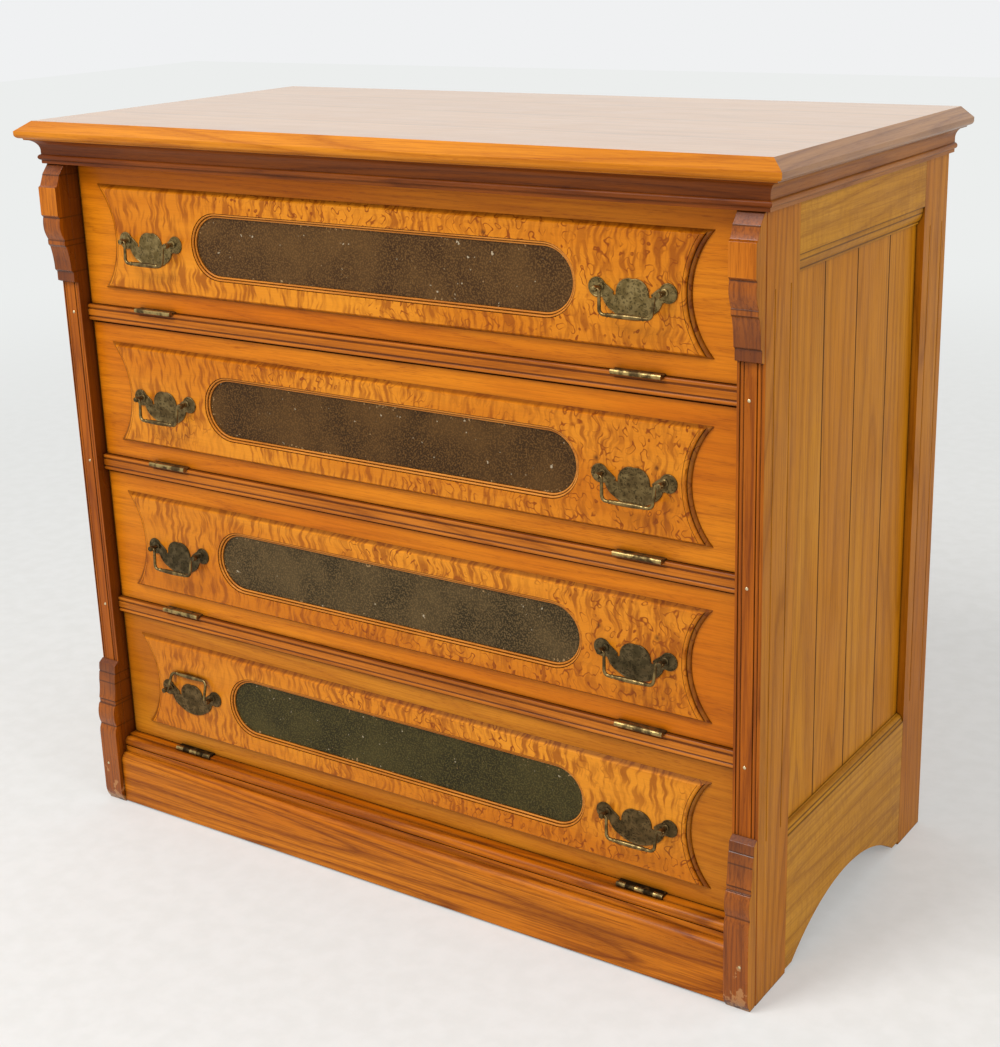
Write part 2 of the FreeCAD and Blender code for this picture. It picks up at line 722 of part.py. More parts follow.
def board_between_stiles(name, front):
    """A level board whose front part fits between the front stiles and the rest between the sides.
    Its top lies at the body's own height 0."""
    stile = "sizes.front_stile_back"
    return padded(name, "plan", [
        (f"-{JAMB}", front),
        (JAMB, front),
        (JAMB, stile),
        (FRAME_INSIDE, stile),
        (FRAME_INSIDE, BACK_BOARD),
        (f"-{FRAME_INSIDE}", BACK_BOARD),
        (f"-{FRAME_INSIDE}", stile),
        (f"-{JAMB}", stile),
    ], "-sizes.shelf_thick", "sizes.shelf_thick")


def make_shelves():
    """The shelf behind each rail, and the bottom board, which also holds the lowest hinges."""
    for number in range(1, FRONT_COUNT):
        shelf = board_between_stiles(f"shelf_{number}_body", "sizes.rail_back")
        sub_part(shelf, f"shelf_{number}", up=level_of(number))
    bottom = board_between_stiles("bottom_board_body", "sizes.post_depth")
    cut_rail_mortises(bottom, "0", "sizes.post_depth")
    sub_part(bottom, "bottom_board", up=level_of(FRONT_COUNT))


def make_front_stops():
    """A small block behind each top corner of every front, which stops it as it shuts."""
    face = "(sizes.front_face + sizes.front_thick + sizes.stop_gap)"
    blocks = []
    for number in range(1, FRONT_COUNT + 1):
        top = f"{level_of(number)} + sizes.front_gap + sizes.front_height"
        for name, side in SIDES.items():
            blocks.append(padded(f"front_stop_{number}_{name}", "plan", oblong(
                f"{side} * ({JAMB} - sizes.stop_width)", f"{side} * {JAMB}",
                face, f"{face} + sizes.stop_depth",
            ), f"{top} - sizes.stop_height", "sizes.stop_height"))
    group_part("front_stops", blocks)


# The base
def make_base():
    """The base moulding under the lowest front, and the plain base board below it."""
    run, length = mirrored_run(JAMB)
    edge = "sizes.base_shelf_edge"
    under_edge = "sizes.base_top - sizes.base_shelf_thick"
    bead = "sizes.base_bead_radius"
    bead_low = f"({under_edge} - 2 * {bead})"
    ovolo = "sizes.base_ovolo_radius"
    quirk = "(sizes.base_ovolo_radius - sizes.base_board_face)"
    ovolo_low = "(sizes.base_board_top + sizes.base_ovolo_lift)"
    ovolo_top = f"({ovolo_low} + {ovolo})"
    moulding = padded("base_moulding_body", "section", [
        ("sizes.post_depth", "sizes.base_top"),
        (edge, "sizes.base_top"),
        (edge, under_edge),
        (f"{edge} - sizes.base_bead_inset", under_edge),
        (f"{edge} - sizes.base_bead_foot", bead_low,
         f"{edge} - sizes.base_bead_inset - {bead}", f"{under_edge} - {bead}"),
        (quirk, bead_low),
        (quirk, ovolo_top),
        ("-sizes.base_board_face", ovolo_low,
         f"{quirk} - {ovolo} * cos(45)", f"{ovolo_top} - {ovolo} * (1 - sin(45))"),
        ("-sizes.base_board_face", "sizes.base_board_top"),
        ("sizes.post_depth", "sizes.base_board_top"),
    ], run, length)
    cut_rail_mortises(moulding, "sizes.base_top", "0")
    barrel = "(sizes.hinge_knuckle_radius + sizes.hinge_knuckle_gap)"
    half = "(sizes.hinge_length / 2 + sizes.hinge_knuckle_gap)"
    depth = f"({barrel} - sizes.hinge_axis_rise)"
    for side in SIDES.values():
        # The barrel of each lowest hinge lies in a notch in the moulding's edge.
        cut_pocket(moulding, "plan", oblong(
            f"{side} * sizes.hinge_centre - {half}", f"{side} * sizes.hinge_centre + {half}",
            "0", f"sizes.hinge_axis_depth + {barrel}",
        ), f"sizes.base_top - {depth}", depth)
    sub_part(moulding, "base_moulding")
    board = padded("base_board_body", "section", oblong(
        "-sizes.base_board_face", "sizes.base_board_thick - sizes.base_board_face",
        "sizes.base_board_bottom", "sizes.base_board_top",
    ), run, length)
    sub_part(board, "base_board")


# The hinges
def knuckled_leaf(name, owned, low, bore):
    """A hinge leaf around the hinge's own axis, along X. It has the knuckles numbered in `owned`,
    counted from the left, and the rest of its edge stands clear of the other leaf's knuckles.
    The flat part starts at the height `low`."""
    half_gap = "sizes.hinge_knuckle_gap / 2"
    start = "-sizes.hinge_length / 2"
    outline = []
    for index in range(KNUCKLE_COUNT):
        near = "0" if index in owned else "sizes.hinge_leaf_relief"
        # A finger stops half a gap short of its neighbour, and the relief takes that half gap.
        inset = half_gap if index in owned else f"-{half_gap}"
        left = f"{start} + {HINGE_STEP} * {index} + {inset}" if index else start
        right = f"{start} + {HINGE_STEP} * {index + 1} - ({inset})"
        if index == KNUCKLE_COUNT - 1:
            right = "sizes.hinge_length / 2"
        outline += [(left, near), (right, near)]
    outline += [("sizes.hinge_length / 2", "sizes.hinge_leaf_width"), (start, "sizes.hinge_leaf_width")]
    body = padded(name, "plan", outline, low, "sizes.hinge_leaf_thick")
    knuckle = new_sketch(body, "section", f"{start} + {HINGE_STEP} * {owned[0]} + {half_gap}")
    draw_circle(knuckle, "0", "0", "sizes.hinge_knuckle_radius")
    first = grow(body, "Pad", knuckle, f"{HINGE_STEP} - sizes.hinge_knuckle_gap")
    pattern = body.newObject("PartDesign::LinearPattern", f"{name}_knuckles")
    pattern.Originals = [first]
    pattern.Direction = (knuckle, ["N_Axis"])
    bind(pattern, Length=f"{HINGE_STEP} * 2 * {len(owned) - 1}")
    pattern.Occurrences = len(owned)
    body.Tip = pattern
    hole = new_sketch(body, "section", start)
    draw_circle(hole, "0", "0", bore)
    grow(body, "Pocket", hole, "sizes.hinge_length")
    return body


def hinge_position(side, number="0", rise="0"):
    """Where a hinge's axis lies: its middle, its depth and its height."""
    return {
        "across": f"{side} * sizes.hinge_centre",
        "back": "sizes.hinge_axis_depth",
        "up": f"{rise} + sizes.hinge_axis_rise",
    }


def set_in_group(piece, across, back, up):
    """Puts one solid of a group at its place, before the group's own placement."""
    bind(piece, **{".Placement.Base.x": across, ".Placement.Base.y": back, ".Placement.Base.z": up})
    return piece


def make_rail_hinges():
    """The hinge leaves on the rails, each with the pin that its three knuckles grip."""
    metalwork = []
    odd_knuckles = list(range(0, KNUCKLE_COUNT, 2))
    for number in range(1, FRONT_COUNT + 1):
        for name, side in SIDES.items():
            axis = hinge_position(side, rise=level_of(number))
            leaf = knuckled_leaf(f"rail_leaf_{number}_{name}", odd_knuckles, f"-{RAIL_LEAF_LOW}",
                                 "sizes.hinge_pin_radius")
            pin = new_body(f"hinge_pin_{number}_{name}")
            sketch = new_sketch(pin, "section", "-sizes.hinge_length / 2")
            draw_circle(sketch, "0", "0", "sizes.hinge_pin_radius")
            grow(pin, "Pad", sketch, "sizes.hinge_length")
            metalwork += [set_in_group(leaf, **axis), set_in_group(pin, **axis)]
    group_part("rail_hinges", metalwork)


def make_front_hinges(number):
    """The two hinge leaves on a front. Their two knuckles each run on the pins with a clearance."""
    even_knuckles = list(range(1, KNUCKLE_COUNT, 2))
    bore = "sizes.hinge_pin_radius + sizes.hinge_running_gap"
    leaves = []
    for name, side in SIDES.items():
        leaf = knuckled_leaf(f"front_leaf_{number}_{name}", even_knuckles, "sizes.hinge_leaf_gap", bore)
        leaves.append(set_in_group(leaf, **hinge_position(side)))
    group_part(f"front_hinges_{number}", leaves, up=level_of(number))


# The drop fronts
def make_front_board(number):
    """A drop front's board. Its back is eased at the top, where it swings up as it opens, and its
    lower edge has a bed for each hinge leaf."""
    back = "(sizes.front_face + sizes.front_thick)"
    top = "(sizes.front_gap + sizes.front_height)"
    run, length = mirrored_run("sizes.front_width / 2")
    body = padded(f"front_board_{number}_body", "section", [
        ("sizes.front_face", "sizes.front_gap"),
        (back, "sizes.front_gap"),
        (back, f"{top} - sizes.front_back_ease"),
        (f"{back} - sizes.front_back_ease", top),
        ("sizes.front_face", top),
    ], run, length)
    bed_top = f"(sizes.hinge_axis_rise + {RAIL_LEAF_LOW})"
    half = "(sizes.hinge_length / 2)"
    for side in SIDES.values():
        cut_pocket(body, "plan", oblong(
            f"{side} * sizes.hinge_centre - {half}", f"{side} * sizes.hinge_centre + {half}",
            "0", HINGE_REACH,
        ), "0", bed_top)
    sub_part(body, f"front_board_{number}", up=level_of(number))


def panel_end_cutter(body):
    """Turns a hollow into the raised panel's right end, around an axis that stands out from the
    panel. The hollow's wall has two reeds, one a step above the other."""
    axis = f"(sizes.panel_tip - sizes.panel_end_sink + {PANEL_END_RADIUS})"
    outer = "(sizes.panel_tip - sizes.panel_end_sink)"
    reed = "sizes.panel_end_reed"
    lip = "sizes.panel_end_lip"
    step = f"(sizes.panel_thick - 2 * {lip}) / 2"
    board = "sizes.front_face"
    low = f"({board} - {lip} - {step})"
    high = PANEL_FACE
    sketch = new_sketch(body, "plan", PANEL_MIDDLE)
    draw_outline(sketch, [
        (axis, f"{board} + sizes.cut_margin"),
        (outer, f"{board} + sizes.cut_margin"),
        (outer, f"{board} - {lip}"),
        (f"{outer} - {reed} + {lip}", low, f"{outer} - {reed} * 0.25", f"{low} + {step} * 0.35"),
        (f"{outer} - {reed}", f"{low} + {lip}"),
        (f"{outer} - {reed}", f"{low} - {lip}"),
        (f"{outer} - 2 * {reed} + {lip}", high, f"{outer} - {reed} * 1.25", f"{high} + {step} * 0.35"),
        (f"{outer} - 2 * {reed}", f"{high} + {lip}"),
        (f"{outer} - 2 * {reed}", f"{high} - sizes.cut_margin"),
        (axis, f"{high} - sizes.cut_margin"),
    ])
    # The first run of the outline is the one on the axis.
    cut = body.newObject("PartDesign::Groove", f"{body.Name}_end")
    cut.Profile = sketch
    cut.ReferenceAxis = (sketch, ["Edge1"])
    cut.Angle = 360
    return cut


def make_raised_panel(number):
    """The raised panel on a front: bevelled along its top and bottom, hollowed at both ends in
    reeded arcs, and cut through in steps for the sign plate."""
    low = "sizes.panel_low"
    high = "(sizes.panel_low + sizes.panel_height)"
    run, length = mirrored_run("sizes.panel_tip")
    body = padded(f"raised_panel_{number}_body", "section", [
        ("sizes.front_face", low),
        ("sizes.front_face", high),
        (PANEL_FACE, f"{high} - sizes.panel_bevel"),
        (PANEL_FACE, f"{low} + sizes.panel_bevel"),
    ], run, length)
    doc.recompute()
    right_end = panel_end_cutter(body)
    left_end = body.newObject("PartDesign::Mirrored", f"{body.Name}_ends")
    left_end.Originals = [right_end]
    left_end.MirrorPlane = [(face, [""]) for face in body.Origin.OriginFeatures if face.Role == "YZ_Plane"][0]
    body.Tip = left_end
    depths = ["sizes.sign_step_depth", "2 * sizes.sign_step_depth", "sizes.panel_thick"]
    for index, depth in enumerate(depths):
        inset = f"{index} * sizes.sign_step"
        cut_pocket(body, "front", stadium(f"(sizes.sign_half_length - {inset})",
                                          f"(sizes.sign_half_height - {inset})", PANEL_MIDDLE),
                   PANEL_FACE, depth)
    sub_part(body, f"raised_panel_{number}", up=level_of(number))


def make_sign_plate(number):
    """The bare sign plate of dark glass that fills the panel's opening."""
    inset = f"({SIGN_GLASS_INSET} + sizes.sign_glass_gap)"
    outline = stadium(f"(sizes.sign_half_length - {inset})", f"(sizes.sign_half_height - {inset})",
                      PANEL_MIDDLE)
    body = padded(f"sign_plate_{number}_body", "front", outline,
                  "sizes.front_face - sizes.sign_glass_thick", "sizes.sign_glass_thick")
    sub_part(body, f"sign_plate_{number}", up=level_of(number))


# The bail pulls
# The right half of a pull's back plate, from the top of its dome to its foot: each corner's
# distance from the middle, in per cent of the half width, and its height, in per cent of the
# plate's height above or below the posts. An arc has two more values, a point that it passes.
PLATE_HALF = [
    (0, 96), (37, -14, 27, 66), (42, -12, 39.5, -24), (62, 38, 53, 10), (72, -32, 99.8, 4),
    (67, -34), (45, -77, 61.5, -54), (0, -100, 24, -94),
]


def plate_side(sign):
    """One half of a back plate's outline, from the top of its dome to its foot."""
    corners = []
    for corner in PLATE_HALF:
        texts = []
        for across, up in zip(corner[0::2], corner[1::2]):
            reach = "sizes.plate_top" if up > 0 else "sizes.plate_bottom"
            texts += [f"{sign} * sizes.plate_half_width * {across} / 100", f"{reach} * {up} / 100"]
        corners.append(tuple(texts))
    return corners


def make_pull_plates(number):
    """The two back plates of a front's pulls, and the two posts that stand on each of them."""
    pieces = []
    outline = plate_side(1)[1:] + walked_back(plate_side(-1))[1:]
    for name, side in SIDES.items():
        plate = padded(f"plate_{number}_{name}", "front", outline, PLATE_FACE, "sizes.plate_thick")
        pieces.append(set_in_group(plate, f"{side} * sizes.pull_centre", "0", "sizes.pull_rise"))
        for post_name, post_side in SIDES.items():
            post = bail_post(f"pull_post_{number}_{name}_{post_name}")
            across = f"{side} * sizes.pull_centre + {post_side} * sizes.pull_post_half"
            pieces.append(set_in_group(post, across, "0", "sizes.pull_rise"))
    group_part(f"pull_plates_{number}", pieces, up=level_of(number))


def bail_post(name):
    """A turned post: a collar on the plate, a neck, and a head with a hole across it for the bail."""
    body = new_body(name)
    head_back = "(sizes.post_head_half - sizes.bail_axis_out)"
    head_front = "(-sizes.post_head_half - sizes.bail_axis_out)"
    collar = f"({PLATE_FACE} - sizes.post_collar_length)"
    sketch = new_sketch(body, "plan")
    draw_outline(sketch, [
        ("0", f"{head_front} - sizes.post_tip"),
        ("0", PLATE_FACE),
        ("sizes.post_collar_radius", PLATE_FACE),
        ("sizes.post_collar_radius", collar),
        ("sizes.post_neck_radius", collar),
        ("sizes.post_neck_radius", head_back),
        ("sizes.post_head_radius", head_back),
        ("sizes.post_head_radius", head_front),
        ("sizes.post_tip_radius", f"{head_front} - sizes.post_tip"),
    ])
    turned = body.newObject("PartDesign::Revolution", f"{name}_turned")
    turned.Profile = sketch
    turned.ReferenceAxis = (sketch, ["V_Axis"])
    turned.Angle = 360
    hole = new_sketch(body, "section", "-sizes.post_head_radius")
    draw_circle(hole, "-sizes.bail_axis_out", "0", "sizes.bail_hole_radius")
    grow(body, "Pocket", hole, "2 * sizes.post_head_radius")
    return body


def add_bend(body, side):
    """Adds the quarter ring that joins one arm of a bail to its bar."""
    bend = body.newObject("PartDesign::AdditiveTorus", f"{body.Name}_bend")
    bend.AttachmentSupport = [(face, "") for face in body.Origin.OriginFeatures if face.Role == "XZ_Plane"]
    bend.MapMode = "FlatFace"
    # The ring starts on the bar's side, and its quarter is the lower one next to the arm.
    quarter_start = 180 if side < 0 else 270
    bend.AttachmentOffset = FreeCAD.Placement(
        FreeCAD.Vector(), FreeCAD.Rotation(FreeCAD.Vector(0, 0, 1), quarter_start))
    bend.Angle3 = 90
    bind(bend, Radius1="sizes.bail_corner", Radius2="sizes.bail_arm_radius", **{
        ".AttachmentOffset.Base.x": f"{side} * (sizes.bail_arm_half - sizes.bail_corner)",
        ".AttachmentOffset.Base.y": "sizes.bail_corner - sizes.bail_drop",
    })


def add_rod(body, plane, across, up, radius, start, length, backwards=False):
    """Adds a round rod to the body, square to the given plane."""
    sketch = new_sketch(body, plane, start)
    draw_circle(sketch, across, up, radius)
    return grow(body, "Pad", sketch, length, backwards)


def make_bail(number, name, side, lean):
    """A bail: a bent wire with a thicker grip, whose ends turn outwards as pins into the posts. It
    is drawn hanging straight down from its own axis and then leaned forward by its angle."""
    body = new_body(f"bail_{number}_{name}_body")
    radius = "sizes.bail_arm_radius"
    straight = "(sizes.bail_arm_half - sizes.bail_corner)"
    add_rod(body, "section", "0", "-sizes.bail_drop", radius, f"-{straight}", f"2 * {straight}")
    for arm_side in SIDES.values():
        add_bend(body, arm_side)
        arm = f"{arm_side} * sizes.bail_arm_half"
        add_rod(body, "plan", arm, "0", radius, "sizes.bail_corner - sizes.bail_drop",
                "sizes.bail_drop - sizes.bail_corner + sizes.bail_arm_radius")
        add_rod(body, "section", "0", "0", "sizes.bail_pin_radius", arm,
                "sizes.bail_pin_end - sizes.bail_arm_half", arm_side < 0)
    grip = new_sketch(body, "front")
    # The grip's ends start inside the bar, so that it swells out of it without an edge.
    grip_end = "-sizes.bail_drop - sizes.bail_arm_radius + sizes.bail_grip_sink"
    draw_outline(grip, [
        ("-sizes.bail_grip_half", "-sizes.bail_drop"),
        ("sizes.bail_grip_half", "-sizes.bail_drop"),
        ("sizes.bail_grip_half", grip_end),
        ("-sizes.bail_grip_half", grip_end, "0", "-sizes.bail_drop - sizes.bail_grip_radius"),
    ])
    swell = body.newObject("PartDesign::Revolution", f"{body.Name}_grip")
    swell.Profile = grip
    # The outline's second run is the one along the bar's middle line.
    swell.ReferenceAxis = (grip, ["Edge2"])
    swell.Angle = 360
    sub_part(body, f"bail_{number}_{name}", across=f"{side} * sizes.pull_centre",
             back="-sizes.bail_axis_out", up=f"{level_of(number)} + sizes.pull_rise")
    body.Placement.Rotation = FreeCAD.Rotation(FreeCAD.Vector(-1, 0, 0), 1)
    bind(body, **{".Placement.Rotation.Angle": lean})


# The whole cabinet
make_top_board()
make_cornice()
make_top_front_rail()
for side_name, side_sign in SIDES.items():
    make_corner_post(side_name, side_sign)
    make_corbel(f"upper_corbel_{side_name}", side_sign, UPPER_CORBEL, UNDER_CORNICE,
                "sizes.upper_corbel_height", "sizes.upper_corbel_out")
    make_corbel(f"lower_corbel_{side_name}", side_sign, LOWER_CORBEL, "sizes.lower_corbel_height",
                "sizes.lower_corbel_height", "sizes.lower_corbel_out")
    make_stiles(side_name, side_sign)
    make_side_rails(side_name, side_sign)
    make_side_boards(side_name, side_sign)
make_back_boards()
for rail_number in range(1, FRONT_COUNT):
    make_front_rail(rail_number)
make_shelves()
make_front_stops()
make_base()
make_rail_hinges()
for front_number in range(1, FRONT_COUNT + 1):
    make_front_board(front_number)
    make_raised_panel(front_number)
    make_sign_plate(front_number)
    make_front_hinges(front_number)
    make_pull_plates(front_number)
    for side_name, side_sign in SIDES.items():
        is_raised = (front_number, side_name) == (FRONT_COUNT, "left")
        rest_lean = "sizes.bail_raised_lean" if is_raised else "sizes.bail_hang_lean"
        make_bail(front_number, side_name, side_sign, rest_lean)
doc.recompute()

# Checks, and one file for each sub-part
for item in doc.Objects:
    if "Invalid" in item.State or "Error" in item.State:
        raise RuntimeError(f"{item.Label} could not be built: {item.State}")
for piece in sub_parts:
    if piece.Shape.isNull() or not piece.Shape.isValid():
        raise RuntimeError(f"{piece.Label} has no valid shape")
os.makedirs("parts", exist_ok=True)
for piece in sub_parts:
    piece.Shape.exportStep(f"parts/{piece.Label}.step")
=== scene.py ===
# %% [markdown]
# # An oak spool cabinet with four drop fronts
# A shop once kept its thread and small goods in this cabinet. It is golden oak under old shellac,
# with darker posts and cornice, four fronts that drop on brass hinges, a panel of figured wood on
# each of them, and brass bail pulls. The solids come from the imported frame, and this script gives
# them their wood, their glass and their metal, and the small work that a joiner adds by hand.

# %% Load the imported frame
import json
import math
import bpy
import bmesh
import numpy as np
from mathutils import Matrix, Vector


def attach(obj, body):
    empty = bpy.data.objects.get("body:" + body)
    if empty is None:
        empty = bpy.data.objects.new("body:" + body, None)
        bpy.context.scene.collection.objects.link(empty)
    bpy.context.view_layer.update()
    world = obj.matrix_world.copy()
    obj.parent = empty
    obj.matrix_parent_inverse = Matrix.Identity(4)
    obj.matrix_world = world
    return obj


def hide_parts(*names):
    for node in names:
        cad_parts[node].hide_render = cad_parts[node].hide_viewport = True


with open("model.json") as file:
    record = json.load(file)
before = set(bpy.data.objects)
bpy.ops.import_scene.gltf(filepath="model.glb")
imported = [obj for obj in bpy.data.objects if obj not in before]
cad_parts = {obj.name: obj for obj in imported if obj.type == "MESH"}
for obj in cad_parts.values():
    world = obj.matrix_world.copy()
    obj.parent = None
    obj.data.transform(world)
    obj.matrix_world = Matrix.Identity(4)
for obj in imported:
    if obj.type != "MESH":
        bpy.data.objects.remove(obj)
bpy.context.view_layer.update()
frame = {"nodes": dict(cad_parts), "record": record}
NODES = frame["nodes"]
BODY_OF = {node: body for body, nodes in frame["record"]["behaviour"]["bodies"].items()
           for node in nodes}

# %% [markdown]
# Lengths below are written in millimetres, as a joiner would, and turned to metres where a mesh or
# a pattern needs them. The cabinet's middle plane is X = 0, its corner posts' faces lie at
# POST_FACE, and the hinge line of each front is one pitch above the next.

# %% Sizes of the cabinet that several pieces share
MM = 0.001
POST_FACE = -243.25
FRONTS = (1, 2, 3, 4)
SIDES = {"left": -1, "right": 1}
LOWEST_HINGE = 101.5
FRONT_PITCH = 213.2
HINGE_LINE = {number: LOWEST_HINGE + (FRONTS[-1] - number) * FRONT_PITCH for number in FRONTS}
PULL_CENTRE = 361.0
PULL_RISE = 93.5
print("the hinge lines lie", [round(line, 1) for line in HINGE_LINE.values()], "mm up")

# %% [markdown]
# ## Materials
# A colour in a picture or a paint chart is written as an sRGB hex value, while a shader works with
# linear light. It could be typed in as linear numbers, but nobody can see a colour in those, so
# one function turns the one into the other.

# %% A hex colour in linear light
def linear(code):
    """The linear RGBA of an sRGB hex code: a channel over 12.92 in the dark toe, and above the
    toe the channel plus 0.055, over 1.055, to the power 2.4."""
    channels = [int(code[i:i + 2], 16) / 255 for i in (1, 3, 5)]
    return [c / 12.92 if c <= 0.04045 else ((c + 0.055) / 1.055) ** 2.4 for c in channels] + [1.0]


print("the orange #c96a00 is", [round(c, 3) for c in linear("#c96a00")], "in linear light")

# %% [markdown]
# A material is a tree of nodes. They could be placed and linked by hand in the shader editor, but
# a script can be read and run again. One function adds a node: its links fill the node's sockets,
# by name or by number, with another node's output, a number or a hex colour, and whatever else is
# given is set on the node itself.

# %% One node with its settings and links
def add(tree, kind, links=None, out=0, stops=None, **settings):
    """Adds a node, sets its settings, fills its sockets with links, numbers or hex colours, and
    returns its output `out`. `stops` are a ramp's (position, hex colour or grey) pairs."""
    node = tree.nodes.new("ShaderNode" + kind)
    for name, setting in settings.items():
        setattr(node, name, setting)
    for socket, source in (links or {}).items():
        if isinstance(source, bpy.types.NodeSocket):
            tree.links.new(source, node.inputs[socket])
        else:
            value = linear(source) if isinstance(source, str) else source
            node.inputs[socket].default_value = value
    if stops:
        node.color_ramp.interpolation = "EASE"
        elements = node.color_ramp.elements
        while len(elements) < len(stops):
            elements.new(0.5)
        for element, (position, colour) in zip(elements, stops):
            element.position = position
            element.color = linear(colour) if isinstance(colour, str) else [colour] * 3 + [1]
    return None if out is None else node.outputs[out]


def new_material(name):
    """A material with an empty node tree, and the tree."""
    material = bpy.data.materials.new(name)
    material.use_nodes = True
    material.node_tree.nodes.clear()
    return material, material.node_tree


print("the frame brought", len(bpy.data.materials), "plain materials of its own")

# %% [markdown]
# A stain, a glaze and dirt all do the same to a surface: they lay a tone over its colour, more in
# one place and less in another. So one helper does it for all of them, with a share that says
# where and an amount that says how much of the tone comes on.

# %% A tone laid over a colour
def lay(tree, colour, tone, share, amount=1.0):
    """The colour with `tone` over it: the share, from 0 to 1, times the amount is the tone's."""
    part = add(tree, "Math", {0: share, 1: amount}, operation="MULTIPLY", use_clamp=True)
    return add(tree, "Mix", {0: part, 6: colour, 7: tone}, out=2, data_type="RGBA")


print("a tone is laid over a colour by its share times an amount")

# %% [markdown]
# ## Oak under old shellac
# The cabinet is sawn oak under shellac that has turned orange with age. Oak shows itself in four
# scales. Its growth rings give the long flames and arches of a sawn board, its fibres give fine
# streaks, its open pores give short dark dashes, and the stain has gone on a little unevenly. A
# photograph can't be used here, and a picture would stop at a board's edge anyway, so all four are
# noise in the board's own space, stretched along the grain.
#
# The grain of a board runs along one axis, so the coordinates are first put in the order along,
# across, through. Where one node holds several boards, each joint that a point lies past moves its
# pattern to another part of the tree.

# %% Coordinates that follow the grain
GRAIN_ORDER = {"X": "XZY", "Y": "YXZ", "Z": "ZXY"}
NEXT_BOARD = (710.0, 370.0, 530.0)


def object_axis(tree, axis):
    """The X, Y or Z of a point on the cabinet, in metres."""
    return add(tree, "SeparateXYZ", {0: add(tree, "TexCoord", out="Object")}, out=axis)


def grain_coordinates(tree, along, joints, shift):
    """(along, across, through), each plus its NEXT_BOARD times the board's number. That number is
    `shift` plus one for each joint, an (axis, place in mm), that the point lies past."""
    board = shift
    for axis, joint in joints:
        past = add(tree, "Math", {0: object_axis(tree, axis), 1: joint * MM},
                   operation="GREATER_THAN")
        board = add(tree, "Math", {0: board, 1: past}, operation="ADD")
    moved = [add(tree, "Math", {0: board, 1: step * MM, 2: object_axis(tree, axis)},
                 operation="MULTIPLY_ADD") for axis, step in zip(GRAIN_ORDER[along], NEXT_BOARD)]
    return add(tree, "CombineXYZ", dict(enumerate(moved)))


print("a board's pattern lies", NEXT_BOARD, "mm from the next one's")

# %% [markdown]
# A noise has spots, and its scale is one over their size. The helper takes that size in
# millimetres, so that each pattern can be checked against a ruler on the real thing. Long and
# narrow spots make grain, and round ones make speckle.

# %% Spots of a real size
def spots(tree, place, along, across, detail=2.0):
    """Noise with spots about `along` mm long and `across` mm wide: the noise of the place with
    each coordinate over its size. `detail` is how many finer noises are added to it."""
    scales = (1 / (along * MM), 1 / (across * MM), 1 / (across * MM))
    scaled = add(tree, "VectorMath", {0: place, 1: scales}, operation="MULTIPLY")
    return add(tree, "TexNoise", {
        "Vector": scaled, "Scale": 1.0, "Detail": detail, "Roughness": 0.55})


print("spots of 10 mm need a scale of", round(1 / (10 * MM)), "to the metre")

# %% [markdown]
# The sizes come from the boards themselves. Growth rings run on for more than a metre and rise and
# fall by a hand's width, and the stain was wiped on in strokes. Two of the sizes are coarser than
# the real ones, because a dot of the render is about a millimetre wide: the pores are a third of a
# millimetre wide on real oak and are drawn three times as wide, and so are the fibres.

# %% Clean wood, with its patterns' sizes along and across the grain
STAIN = (625.0, 143.0)
RING = (1330.0, 91.0)
RINGS_IN_A_WAVE = 13.0
FIBRE = (110.0, 2.6)
PORE = (16.7, 1.1)
CROWDED = 0.7
FIBRE_RELIEF = 0.3


def grain(tree, place, tones, ring_depth, fibre_depth, pore_depth):
    """The colour of clean wood and a height map. The stain goes from the middle tone to the light
    one. The rings are the fractions of 13 times a slow noise. Streaks, rings and pores each lay
    the dark tone over it, by their depths. The pores crowd in the dark part of a ring: they are
    taken 0.7 times the ring plus 0.3. The height is 0.3 times the fibres less the pores."""
    dark, middle, light = tones
    stain = add(tree, "ValToRGB", {0: spots(tree, place, *STAIN, detail=3.0)},
                stops=[(0.32, 0.0), (0.68, 1.0)])
    fibre = spots(tree, place, *FIBRE, detail=3.0)
    streak = add(tree, "ValToRGB", {0: fibre}, stops=[(0.43, 0.0), (0.66, 1.0)])
    slow = spots(tree, place, *RING, detail=1.2)
    rings = add(tree, "Math", {0: slow, 1: RINGS_IN_A_WAVE}, operation="MULTIPLY")
    ring = add(tree, "ValToRGB", {0: add(tree, "Math", {0: rings}, operation="FRACT")},
               stops=[(0.0, 1.0), (0.16, 0.2), (0.5, 0.0), (0.9, 0.55), (1.0, 1.0)])
    pore = add(tree, "ValToRGB", {0: spots(tree, place, *PORE, detail=1.0)},
               stops=[(0.55, 0.0), (0.68, 1.0)])
    crowd = add(tree, "Math", {0: ring, 1: CROWDED, 2: 1 - CROWDED}, operation="MULTIPLY_ADD")
    pore = add(tree, "Math", {0: pore, 1: crowd}, operation="MULTIPLY")
    colour = lay(tree, middle, light, stain)
    for share, depth in ((streak, fibre_depth), (ring, ring_depth), (pore, pore_depth)):
        colour = lay(tree, colour, dark, share, depth)
    raised = add(tree, "Math", {0: fibre, 1: FIBRE_RELIEF}, operation="MULTIPLY")
    height = add(tree, "Math", {0: pore, 1: -pore_depth, 2: raised}, operation="MULTIPLY_ADD")
    return colour, height


print("fibres are drawn", FIBRE[1], "mm wide, and pores", PORE[1], "mm wide")

# %% [markdown]
# The panels' wood is figured: its fibres run in waves, so that light and dark bars stand across
# the grain about 6 mm apart. A wave texture could draw bars, but they would be too regular, so
# they are a noise that is short along the grain and long across it.

# %% The bars of wavy fibres
BAR = (6.0, 30.0)
BAR_PATCH = (91.0, 67.0)


